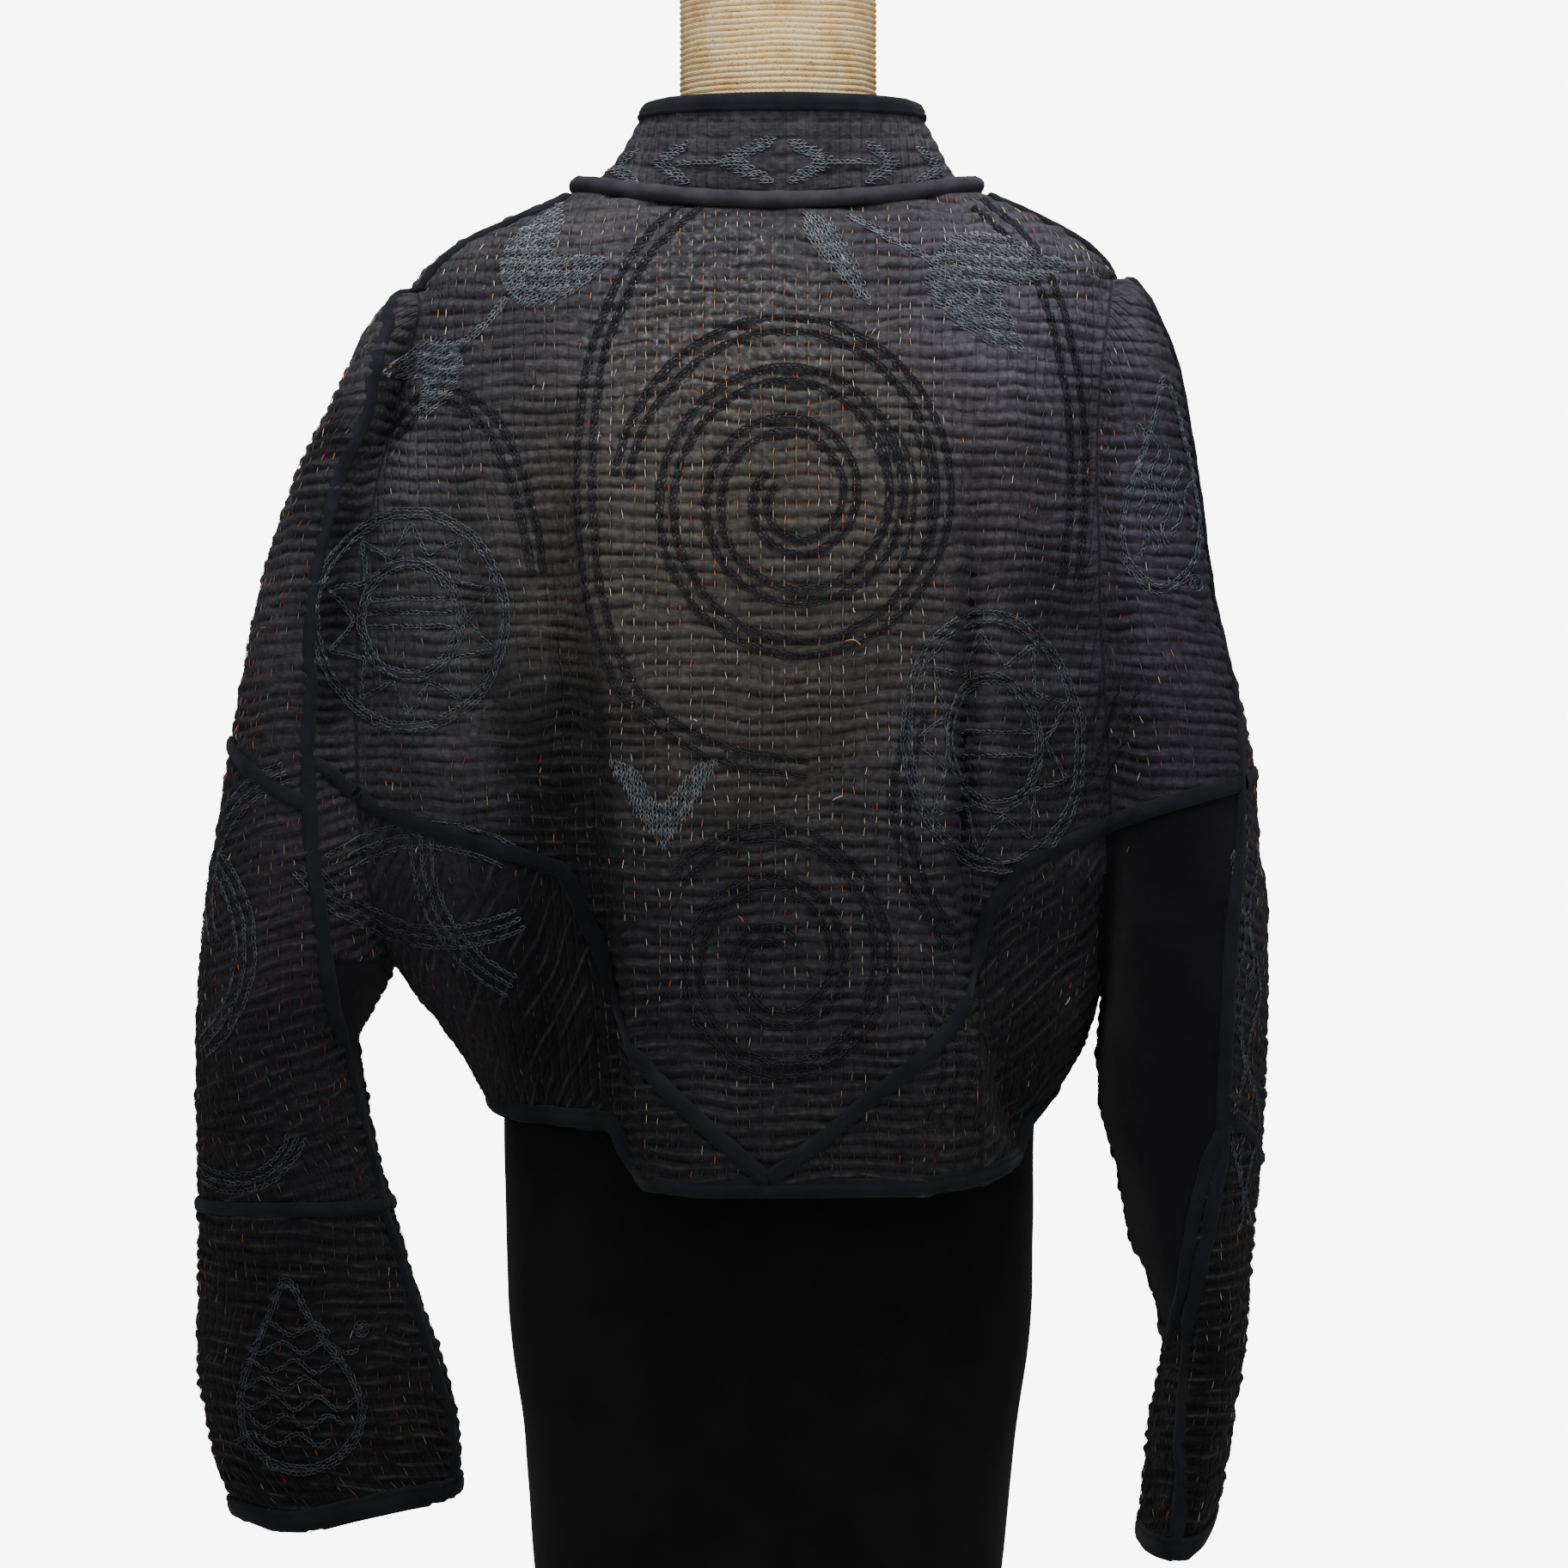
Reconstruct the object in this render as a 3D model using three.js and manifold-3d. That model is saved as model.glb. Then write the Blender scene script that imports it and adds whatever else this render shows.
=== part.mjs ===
// A kantha jacket worn on a limbless dress form.
// Millimetres, +Z up. X runs across the shoulders and +Y is the wearer's front.
// The origin is the centre of the stand's underside.

import * as THREE from "three";
import { mergeVertices } from "three/addons/utils/BufferGeometryUtils.js";
import Module from "manifold-3d";

const wasm = await Module();
wasm.setup();

// ---- Driving sizes -------------------------------------------------------------------------
const wall = 3; // several layers of old cloth run together
const seamGap = 0.3;
const ridgePitch = 42; // one raised quilting ridge
const ridgeDepth = 0.9;
const liningStep = 70; // the plain inside has fewer sections
const tape = 1.9; // folded bias binding
const bindingWidth = 10;
const overarmWidth = 12;
const hemWidth = 9;
const cuffBindingWidth = 12;
const panelEdge = 14; // width of the drape's steep side
const pipingRadius = 5.5;
const neckRadius = 60;
const neckCentreX = 3;
const neckTop = 1088;
const baseRadius = 170;
const baseHeight = 18;
const poleRadius = 14;
const poleFlange = 16; // how far the pole's foot stands out
const poleSocket = 20; // how far its top stands out
const capEdge = 4;
const capRise = 11;
const far = 400; // beyond every piece
const aboveAll = 1200;
const underCuffs = 60;

function table(names, rows) {
  return rows.map((row) => Object.fromEntries(names.map((name, i) => [name, row[i]])));
}

// Level sections of the jacket's body, from the neckline down. Back and front are depths from
// the side seam, the drops lower the middle of a section, and the panel is the depth of the
// drape that hangs in front of the back, between its two edges.
const bodySections = table(
  ["height", "left", "right", "back", "front", "dropBack", "dropFront", "panel", "panelLeft", "panelRight"],
  [
    [957, -117, 121, 78, 70, 18, 58, 0, -88, 92],
    [948, -138, 142, 90, 82, 15, 50, 0, -95, 98],
    [938, -163, 165, 100, 92, 12, 40, 0, -102, 104],
    [915, -206, 202, 114, 106, 6, 20, 0, -118, 112],
    [897, -221, 213, 121, 114, 2, 8, 0, -126, 116],
    [863, -233, 217, 129, 122, 0, 0, 0, -130, 118],
    [811, -249, 214, 136, 128, 0, 0, 2, -126, 118],
    [749, -263, 215, 140, 130, 0, 0, 5, -120, 118],
    [681, -271, 217, 136, 130, 0, 0, 11, -112, 114],
    [603, -273, 219, 127, 128, 0, 0, 22, -101, 110],
    [551, -263, 217, 121, 124, 0, 0, 28, -97, 110],
    [520, -247, 210, 118, 120, 0, 0, 31, -95, 114],
    [487, -230, 203, 116, 118, 0, 0, 34, -93, 119],
    [468, -216, 199, 115, 116, 0, 0, 36, -92, 122],
    [444, -196, 190, 114, 115, 0, 0, 38, -91, 127],
    [421, -181, 178, 114, 114, 0, 0, 39, -90, 132],
    [400, -171, 167, 114, 114, 0, 0, 40, -88, 138],
    [374, -171, 167, 114, 114, 0, 0, 38, -83, 146],
    [335, -171, 167, 114, 114, 0, 0, 34, -80, 148],
  ],
);

// Level sections of each sleeve, from its cap down to below the cuff.
const sleeveNames = ["height", "outer", "inner", "depth", "middle"];
const leftSleeveSections = table(sleeveNames, [
  [893, -224, -208, 40, 0],
  [881, -236, -205, 74, 0],
  [865, -246, -211, 86, -2],
  [827, -264, -222, 94, -4],
  [780, -287, -230, 97, -5],
  [715, -308, -236, 97, -6],
  [643, -322, -240, 96, -6],
  [557, -336, -238, 94, -6],
  [509, -343, -232, 91, -6],
  [487, -345, -229, 89, -6],
  [465, -346, -240, 86, -6],
  [442, -347, -251, 80, -7],
  [414, -347, -247, 74, -8],
  [375, -346, -239, 66, -9],
  [334, -346, -227, 57, -10],
  [291, -346, -214, 52, -10],
  [250, -347, -198, 50, -10],
  [213, -341, -189, 50, -10],
  [186, -335, -187, 49, -10],
  [160, -325, -190, 48, -10],
  [135, -320, -192, 48, -10],
]);
const rightSleeveSections = table(sleeveNames, [
  [899, 218, 200, 46, 0],
  [881, 229, 196, 76, 0],
  [851, 241, 190, 90, -2],
  [814, 249, 187, 95, -4],
  [772, 255, 185, 97, -5],
  [707, 264, 185, 97, -6],
  [650, 280, 188, 96, -6],
  [607, 289, 192, 95, -6],
  [557, 292, 196, 94, -6],
  [520, 297, 198, 92, -6],
  [468, 297, 199, 88, -6],
  [440, 297, 196, 84, -6],
  [401, 295, 198, 79, -5],
  [366, 293, 208, 76, -4],
  [324, 289, 216, 74, -3],
  [297, 287, 228, 73, -2],
  [259, 284, 237, 74, 0],
  [212, 276, 229, 75, 0],
  [173, 270, 225, 75, 0],
  [149, 262, 223, 74, 0],
  [125, 258, 222, 73, 0],
]);

// The collar stands on the neckline: sections up from its seam.
const collarSections = table(
  ["height", "left", "right", "back", "front", "dropBack", "dropFront"],
  [
    [957.3, -117, 121, 78, 70, 18, 58],
    [966, -101, 108, 76, 67, 14, 54],
    [984, -88, 98, 75, 66, 7, 46],
    [1006, -76, 87, 74, 66, 0, 38],
  ],
);

// The dress form, from its shoulders down to its lower end.
const formSections = table(
  ["height", "left", "right", "back", "front"],
  [
    [968, -58, 64, 60, 58],
    [955, -76, 80, 66, 60],
    [940, -128, 130, 82, 66],
    [915, -176, 176, 100, 80],
    [890, -186, 184, 106, 94],
    [840, -184, 180, 108, 104],
    [740, -164, 160, 104, 112],
    [640, -138, 136, 92, 100],
    [560, -134, 130, 88, 92],
    [480, -158, 152, 100, 98],
    [402, -164, 159, 105, 102],
    [291, -162, 158, 104, 100],
    [197, -151, 147, 98, 96],
    [108, -144, 137, 92, 92],
    [95, -138, 131, 88, 88],
  ],
);

// Seams as [x, z] points on the hanging cloth.
const leftOverarm = [
  [-222, 905], [-241, 815], [-258, 765], [-271, 706], [-276, 620], [-273, 557], [-262, 465], [-244, 375],
  [-220, 293], [-195, 217], [-192, 100],
];
const rightOverarm = [
  [214, 905], [238, 851], [252, 772], [259, 707], [276, 603], [271, 512], [266, 374], [248, 276],
  [242, 192], [241, 100],
];
const leftBackV = [
  [-300, 624], [-268, 607], [-234, 581], [-178, 564], [-122, 546], [-102, 500], [-82, 441], [-32, 391],
  [-3, 350],
];
const rightBackV = [
  [-3, 350], [24, 387], [90, 440], [116, 482], [126, 520], [143, 548], [199, 573], [278, 598], [310, 606],
];
const leftFrontV = [
  [-360, 654], [-308, 604], [-284, 588], [-178, 564], [-122, 530], [-56, 426], [-3, 350],
];
const rightFrontV = [[-3, 350], [62, 432], [143, 536], [199, 567], [284, 600], [320, 622]];
const leftForearm = [[-170, 410], [-255, 399], [-300, 383], [-370, 344]];
const rightForearm = [[180, 240], [237, 259], [248, 332], [270, 400], [292, 372], [330, 350]];
const backHem = [
  [-200, 405], [-171, 403], [-150, 397], [-96, 394], [-88, 376], [-76, 361], [-40, 357], [80, 357],
  [120, 362], [146, 372], [152, 392], [167, 409], [200, 415],
];
const frontHem = [[-200, 405], [-60, 396], [60, 396], [200, 415]];
const leftCuff = [
  [-370, 158], [-325, 158], [-296, 151], [-274, 153], [-247, 160], [-221, 165], [-197, 168], [-160, 182],
];
const rightCuff = [[200, 147], [225, 139], [245, 136], [253, 142], [264, 154], [290, 170]];
const frontOpening = { x: 2, top: 960, bottom: 380, topWidth: 14, bottomWidth: 52 };
const collarOpening = { left: -5, right: 9, foot: 800 };
const leftShoulder = [[-222, 872], [-190, 896], [-112, 930], [-60, aboveAll], [-far, aboveAll], [-far, 872]];
const rightShoulder = [[214, 872], [188, 896], [116, 930], [60, aboveAll], [far, aboveAll], [far, 872]];

// The quilting stops below the shoulders' top and on the plain undersides of the sleeves.
const ridgesTop = 925;
const plainLeftSleeve = { edge: -262, top: 600 };
const plainRightSleeve = { edge: 272, top: 545, foot: 262 };

// The body hangs apart from the sleeves between these sides, down to its hem.
const bodyColumn = { left: -190, right: 186, top: 440, foot: 300, side: 200 };

// ---- Helpers -------------------------------------------------------------------------------

// A smooth value of one column at any height, through the rows of a table of sections.
function sample(sections, column, height) {
  const last = sections.length - 1;
  const falling = sections[0].height > sections[last].height;
  const rows = falling ? sections : [...sections].reverse();
  const top = rows[0].height;
  const bottom = rows[last].height;
  const level = Math.min(top, Math.max(bottom, height));
  let i = 0;
  while (i < last - 1 && rows[i + 1].height > level) i += 1;
  const slope = (a, b) => (rows[b][column] - rows[a][column]) / (rows[b].height - rows[a].height);
  const here = slope(i, i + 1);
  const meet = (a, b) => (a * b > 0 ? (2 * a * b) / (a + b) : 0);
  const startSlope = i > 0 ? meet(slope(i - 1, i), here) : here;
  const endSlope = i + 2 <= last ? meet(here, slope(i + 1, i + 2)) : here;
  const span = rows[i + 1].height - rows[i].height;
  const t = (level - rows[i].height) / span;
  const t2 = t * t;
  const t3 = t2 * t;
  return (2 * t3 - 3 * t2 + 1) * rows[i][column]
    + (t3 - 2 * t2 + t) * span * startSlope
    + (3 * t2 - 2 * t3) * rows[i + 1][column]
    + (t3 - t2) * span * endSlope;
}

function smoothStep(value) {
  const t = Math.min(1, Math.max(0, value));
  return t * t * (3 - 2 * t);
}

const bodyRoundness = 2.3;
const collarRoundness = 2.1;
const sleeveRoundness = 2.2;

// Depth of a rounded section at a place from -1 to 1 across it.
function bulge(place, roundness) {
  return (1 - Math.min(1, Math.abs(place)) ** roundness) ** (1 / roundness);
}

// Places across a section from one edge to another, closer together towards the sides.
function spread(from, to, steps) {
  const start = Math.acos(Math.max(-1, Math.min(1, -from)));
  const end = Math.acos(Math.max(-1, Math.min(1, -to)));
  return Array.from({ length: steps }, (_, i) => -Math.cos(start + ((end - start) * i) / steps));
}

const sideColumns = 4;
const panelColumns = 4;
const frontColumns = 6;

// One section of the body: the back from left to right, then the front from right to left.
function bodyRing(height, sections = bodySections, roundness = bodyRoundness) {
  const at = (column) => sample(sections, column, height);
  const middle = (at("left") + at("right")) / 2;
  const half = (at("right") - at("left")) / 2;
  const place = (x) => (x - middle) / half;
  const panelLeft = at("panelLeft");
  const panelRight = at("panelRight");
  const flatLeft = place(panelLeft + panelEdge);
  const flatRight = place(panelRight - panelEdge);
  const backPlaces = [
    ...spread(-1, place(panelLeft), sideColumns),
    place(panelLeft),
    ...spread(flatLeft, flatRight, panelColumns),
    flatRight,
    ...spread(place(panelRight), 1, sideColumns),
  ];
  const back = backPlaces.map((across) => {
    const depth = bulge(across, roundness);
    const inPanel = Math.min(across - place(panelLeft), place(panelRight) - across) * half;
    const y = -at("back") * depth - at("panel") * smoothStep(inPanel / panelEdge);
    return new THREE.Vector3(middle + half * across, y, height - at("dropBack") * depth ** 2);
  });
  const front = spread(-1, 1, frontColumns).map((across) => {
    const depth = bulge(across, roundness);
    const drop = at("dropFront") * depth ** 2;
    return new THREE.Vector3(middle - half * across, at("front") * depth, height - drop);
  });
  return [...back, ...front];
}

const roundColumns = 10;

// A plain rounded section: clockwise from the left, through the back.
function roundRing(height, left, right, back, front, dropBack, dropFront, roundness, columns, y = 0) {
  return Array.from({ length: columns }, (_, i) => {
    const angle = (2 * Math.PI * i) / columns;
    const across = -Math.sign(Math.cos(angle)) * Math.abs(Math.cos(angle)) ** (2 / roundness);
    const depth = Math.sign(Math.sin(angle)) * Math.abs(Math.sin(angle)) ** (2 / roundness);
    const isBack = depth >= 0;
    const reach = isBack ? back : front;
    const drop = isBack ? dropBack : dropFront;
    return new THREE.Vector3(
      (left + right) / 2 + ((right - left) / 2) * across,
      y - reach * depth,
      height - drop * depth ** 2,
    );
  });
}

function sleeveRing(height, sections) {
  const at = (column) => sample(sections, column, height);
  const left = Math.min(at("outer"), at("inner"));
  const right = Math.max(at("outer"), at("inner"));
  const depth = at("depth");
  return roundRing(height, left, right, depth, depth, 0, 0, sleeveRoundness, roundColumns, at("middle"));
}

// Outward directions at every point of a stack of rings, which run from the top down.
function outward(rings) {
  return rings.map((ring, j) => ring.map((_, i) => {
    const count = ring.length;
    const along = rings[j][(i + 1) % count].clone().sub(rings[j][(i + count - 1) % count]);
    const above = rings[Math.max(0, j - 1)][i];
    const below = rings[Math.min(rings.length - 1, j + 1)][i];
    return along.cross(above.clone().sub(below)).normalize();
  }));
}

function moved(rings, directions, distanceAt) {
  return rings.map((ring, j) => ring.map((point, i) => (
    point.clone().addScaledVector(directions[j][i], distanceAt(j, i))
  )));
}

// A closed solid through a stack of rings, with a middle point in each end.
function stackGeometry(rings) {
  const count = rings[0].length;
  const positions = rings.flat().flatMap((point) => [point.x, point.y, point.z]);
  const centre = (ring) => ring.reduce((sum, point) => sum.add(point), new THREE.Vector3())
    .divideScalar(ring.length);
  const topCentre = rings.length * count;
  const bottomCentre = topCentre + 1;
  positions.push(...centre(rings[0]).toArray(), ...centre(rings[rings.length - 1]).toArray());
  const faces = [];
  for (let j = 0; j + 1 < rings.length; j += 1) {
    for (let i = 0; i < count; i += 1) {
      const next = (i + 1) % count;
      const a = j * count + i;
      const b = j * count + next;
      const c = (j + 1) * count + i;
      const d = (j + 1) * count + next;
      faces.push(a, c, b, b, c, d);
    }
  }
  const lastRow = (rings.length - 1) * count;
  for (let i = 0; i < count; i += 1) {
    const next = (i + 1) % count;
    faces.push(topCentre, i, next, bottomCentre, lastRow + next, lastRow + i);
  }
  const geometry = new THREE.BufferGeometry();
  geometry.setAttribute("position", new THREE.Float32BufferAttribute(positions, 3));
  geometry.setIndex(faces);
  return geometry;
}

function solid(geometry) {
  const bare = geometry.clone();
  bare.deleteAttribute("normal");
  bare.deleteAttribute("uv");
  const merged = mergeVertices(bare, 1e-4);
  return new wasm.Manifold(new wasm.Mesh({
    numProp: 3,
    vertProperties: Float32Array.from(merged.attributes.position.array),
    triVerts: Uint32Array.from(merged.index.array),
  }));
}

const stack = (rings) => solid(stackGeometry(rings));
const union = (solids) => solids.reduce((sum, next) => sum.add(next));
const largest = (body) => body.decompose().sort((a, b) => b.volume() - a.volume())[0];

// An outline of [x, z] points carried along Y.
function alongY(outline, from, to) {
  const shape = new THREE.Shape(outline.map(([x, z]) => new THREE.Vector2(x, z)));
  const geometry = new THREE.ExtrudeGeometry(shape, { depth: to - from, bevelEnabled: false });
  geometry.translate(0, 0, -to);
  geometry.rotateX(Math.PI / 2);
  return solid(geometry);
}

// The line moved sideways by a distance, in its own plane.
function besides(line, distance) {
  return line.map(([x, z], i) => {
    const [x0, z0] = line[Math.max(0, i - 1)];
    const [x1, z1] = line[Math.min(line.length - 1, i + 1)];
    const length = Math.hypot(x1 - x0, z1 - z0);
    return [x - (distance * (z1 - z0)) / length, z + (distance * (x1 - x0)) / length];
  });
}

function strip(line, width, from = -far, to = far) {
  const one = besides(line, -width / 2);
  const other = besides(line, width / 2);
  return stack(line.map((_, i) => [[one[i], from], [other[i], from], [other[i], to], [one[i], to]].map(
    ([[x, z], y]) => new THREE.Vector3(x, y, z),
  )));
}

// The solid on one side of a seam line and on the other, a seam's gap apart.
function split(body, line, corners, from = -far, to = far) {
  const outline = [...line, ...corners];
  const side = alongY(outline, from, to);
  const seam = strip(line, 2 * seamGap, from, to);
  return [body.intersect(side), body.subtract(union([side, seam]))];
}

// ---- The cloth as one shell ----------------------------------------------------------------

function heights(top, bottom, step) {
  const count = Math.round((top - bottom) / step);
  return Array.from({ length: count + 1 }, (_, i) => top - ((top - bottom) * i) / count);
}

// Levels closer together over the shoulders, where the cloth turns to lie nearly flat.
const shoulderFoot = 845;
const shoulderStep = 16;
function levels(top, bottom, step) {
  const upper = heights(top, shoulderFoot, shoulderStep);
  return [...upper, ...heights(shoulderFoot, bottom, step).slice(1)];
}

// A tube of cloth: its quilted outside, its plain inside, and the two sides of tape laid on it.
function clothTube(top, bottom, ringAt, isQuilted, opensAtTop) {
  const crests = levels(top, bottom, ridgePitch);
  const withGroove = (height, j) => (
    height < shoulderFoot ? [(crests[j - 1] + height) / 2, height] : [height]
  );
  const fine = crests.flatMap(withGroove).map(ringAt);
  const firstRidge = crests.findIndex((height) => height < shoulderFoot);
  const fineOut = outward(fine);
  const coarse = crests.map(ringAt);
  const coarseOut = outward(coarse);
  const isGroove = (j) => j >= firstRidge && (j - firstRidge) % 2 === 0;
  const relief = (j, i) => (isGroove(j) && isQuilted(fine[j][i]) ? -ridgeDepth : 0);
  const lining = levels(top, bottom, liningStep).map(ringAt);
  const inner = moved(lining, outward(lining), () => -wall);
  if (opensAtTop) {
    const lifted = inner[0].map((point) => point.clone().setZ(point.z + 3 * wall));
    inner.unshift(lifted);
  }
  return {
    outside: stack(moved(fine, fineOut, relief)),
    inside: stack(inner),
    tapeUnder: stack(moved(fine, fineOut, (j, i) => relief(j, i) + seamGap)),
    tapeOver: stack(moved(coarse, coarseOut, () => tape + seamGap)),
    clear: stack(moved(lining, outward(lining), () => -wall - 2 * seamGap)),
  };
}

const hasRidges = {
  body: (point) => point.z < ridgesTop,
  left: (point) => point.x <= plainLeftSleeve.edge || point.z >= plainLeftSleeve.top,
  right: (point) => point.y >= 0 || point.x >= plainRightSleeve.edge
    || point.z >= plainRightSleeve.top || point.z <= plainRightSleeve.foot,
};
const first = (rows) => rows[0];
const last = (rows) => rows[rows.length - 1];
const tubeOf = (sections, ringAt, isQuilted, opensAtTop) => (
  clothTube(first(sections).height, last(sections).height, ringAt, isQuilted, opensAtTop)
);
const leftSleeveRing = (height) => sleeveRing(height, leftSleeveSections);
const rightSleeveRing = (height) => sleeveRing(height, rightSleeveSections);
const tubes = [
  tubeOf(bodySections, (height) => bodyRing(height), hasRidges.body, true),
  tubeOf(leftSleeveSections, leftSleeveRing, hasRidges.left, false),
  tubeOf(rightSleeveSections, rightSleeveRing, hasRidges.right, false),
];
const gather = (name) => union(tubes.map((tube) => tube[name]));

const bodyColumnZone = alongY(
  [
    [bodyColumn.left, bodyColumn.foot], [bodyColumn.right, bodyColumn.foot],
    [bodyColumn.right, bodyColumn.top], [bodyColumn.left, bodyColumn.top],
  ],
  -far,
  far,
);
const under = (line, foot) => [...line, [last(line)[0], foot], [first(line)[0], foot]];
const liftedLine = (line, rise) => line.map(([x, z]) => [x, z + rise]);
const belowHem = (rise) => union([
  alongY(under(liftedLine(backHem, rise), bodyColumn.foot), -far, 0),
  alongY(under(liftedLine(frontHem, rise), bodyColumn.foot), 0, far),
]).intersect(bodyColumnZone);
const edges = union([
  belowHem(0),
  alongY(under(leftCuff, underCuffs), -far, far),
  alongY(under(rightCuff, underCuffs), -far, far),
]);
const openingSide = (sign) => [
  [frontOpening.x + (sign * frontOpening.topWidth) / 2, frontOpening.top],
  [frontOpening.x + (sign * frontOpening.bottomWidth) / 2, frontOpening.bottom],
];
const opening = alongY([...openingSide(1), ...openingSide(-1).reverse()], 0, far);
const cut = (body) => body.subtract(edges).subtract(opening);

// ---- The collar ----------------------------------------------------------------------------
const collarColumns = 20;
const collarBindingShare = 0.45; // down to the next section
const collarRing = (section) => roundRing(
  section.height, section.left, section.right, section.back, section.front,
  section.dropBack, section.dropFront, collarRoundness, collarColumns,
);
const collarOutside = [...collarSections].reverse().map(collarRing);
const collarOut = outward(collarOutside);
const collarInside = moved(collarOutside, collarOut, () => -wall);
const raised = (ring, rise) => ring.map((point) => point.clone().setZ(point.z + rise));
const liftedTop = raised(first(collarInside), 3 * wall);
const loweredFoot = raised(last(collarInside), -3 * wall);
const passageRings = [liftedTop, ...collarInside, loweredFoot];
const neckPassage = stack(passageRings);
const neckRoom = stack(moved(passageRings, outward(passageRings), () => -2 * seamGap));
const frontGap = alongY(
  [
    [collarOpening.left, collarOpening.foot], [collarOpening.right, collarOpening.foot],
    [collarOpening.right, aboveAll], [collarOpening.left, aboveAll],
  ],
  0,
  far,
);
const collarStand = stack(collarOutside).subtract(neckPassage).subtract(frontGap);
const collarFootClear = collarStand.translate(0, 0, -seamGap);
const collarClear = stack([
  liftedTop,
  ...moved(collarOutside, collarOut, () => seamGap),
  loweredFoot,
]);

const cloth = cut(gather("outside").subtract(gather("inside")))
  .subtract(collarFootClear).subtract(collarStand);
const tapeShell = cut(gather("tapeOver").subtract(gather("tapeUnder")));

// ---- The cut pieces ------------------------------------------------------------------------
const endsAt = (line, height) => [[last(line)[0], height], [first(line)[0], height]];
const [cuffLeft, aboveLeft] = split(cloth, leftForearm, endsAt(leftForearm, underCuffs));
const [cuffRight, aboveCuffs] = split(aboveLeft, rightForearm, endsAt(rightForearm, underCuffs));
const backOutline = [
  ...leftOverarm, ...[...rightOverarm].reverse(),
  [first(rightOverarm)[0], aboveAll], [first(leftOverarm)[0], aboveAll],
];
const backSide = alongY(backOutline, -far, 0);
const backGrown = union([
  alongY(backOutline, -far, seamGap),
  strip(leftOverarm, 2 * seamGap, -far, seamGap),
  strip(rightOverarm, 2 * seamGap, -far, seamGap),
]);
const backCloth = aboveCuffs.intersect(backSide);
const frontCloth = aboveCuffs.subtract(backGrown);
const backV = [...leftBackV, ...rightBackV.slice(1)];
const frontV = [...leftFrontV, ...rightFrontV.slice(1)];
const upward = [[far, aboveAll], [-far, aboveAll]];
const [backPanel, backLower] = split(backCloth, backV, upward, -far, far);
const [frontUpper, frontLower] = split(frontCloth, frontV, upward, -far, far);
const halfOf = (sign) => alongY([[0, 0], [sign * far, 0], [sign * far, aboveAll], [0, aboveAll]], -far, far);
const leftHalf = halfOf(-1);
const rightHalf = halfOf(1);

// ---- The bindings --------------------------------------------------------------------------
const shoulderStrip = (outline) => alongY(outline, -bindingWidth / 2, bindingWidth / 2);
const overarmReach = 12; // past the sleeve's middle, towards the front
const overarmStrip = (line, room) => strip(line, overarmWidth + 2 * room, -far, overarmReach + room);
const overarmLeftZone = union([overarmStrip(leftOverarm, 0), shoulderStrip(leftShoulder)]);
const overarmRightZone = union([overarmStrip(rightOverarm, 0), shoulderStrip(rightShoulder)]);
const zoneGap = union([overarmStrip(leftOverarm, seamGap), overarmStrip(rightOverarm, seamGap)]);
const hemZone = belowHem(hemWidth);
const hemGap = belowHem(hemWidth + seamGap);
const edgeStrip = (sign, width) => strip(openingSide(sign), 2 * width, 0, far);
const cuffZone = (line, width) => strip(liftedLine(line, width / 2), width);
const leftCuffZone = cuffZone(leftCuff, cuffBindingWidth);
const rightCuffZone = cuffZone(rightCuff, cuffBindingWidth);
const cuffGap = union([
  cuffZone(leftCuff, cuffBindingWidth + 2 * seamGap),
  cuffZone(rightCuff, cuffBindingWidth + 2 * seamGap),
]);
const edgeGap = union([edgeStrip(1, hemWidth + seamGap), edgeStrip(-1, hemWidth + seamGap)]);
const seamBinding = (line, from, to) => tapeShell.intersect(strip(line, bindingWidth, from, to))
  .subtract(zoneGap).subtract(hemGap).subtract(edgeGap);
const sideRoom = seamGap / 2;

// A profile of [out, up] points carried along a ring's points, each with its two directions.
function carried(points, outs, profile) {
  const rings = points.map((point, i) => profile.map(([out, rise]) => (
    point.clone().addScaledVector(outs[i], out).add(new THREE.Vector3(0, 0, rise))
  )));
  return stack(rings);
}

// The collar's points from one front end round the back to the other.
function aroundNeck(ring) {
  const frontStart = Math.round(0.75 * collarColumns);
  const order = Array.from({ length: collarColumns - 1 }, (_, k) => (frontStart + 1 + k) % collarColumns);
  return order.map((i) => ring[i].clone());
}
const flatOut = (directions) => directions.map(
  (direction) => new THREE.Vector3(direction.x, direction.y, 0).normalize(),
);
const bindingFoot = collarOutside[0].map(
  (point, i) => point.clone().lerp(collarOutside[1][i], collarBindingShare),
);
const bindingRings = [collarOutside[0], bindingFoot];
const bindingOut = outward(bindingRings);
const bindingStack = (distance, rise) => {
  const [top, foot] = moved(bindingRings, bindingOut, () => distance);
  return stack([raised(top, rise), foot]);
};
const collarOver = moved(collarOutside, collarOut, () => seamGap)
  .map((ring, j) => raised(ring, j ? 0 : seamGap));
const collarGrown = stack(collarOver)
  .subtract(stack([liftedTop, ...moved(collarInside, collarOut, () => -seamGap), loweredFoot]));
const bindingInner = stack(moved(bindingRings, bindingOut, () => -wall - seamGap - tape).map(
  (ring, j) => raised(ring, j ? -4 * tape : 4 * tape),
));
const collarBinding = bindingStack(seamGap + tape, seamGap + tape)
  .subtract(bindingInner).subtract(collarGrown).subtract(frontGap);

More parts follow.
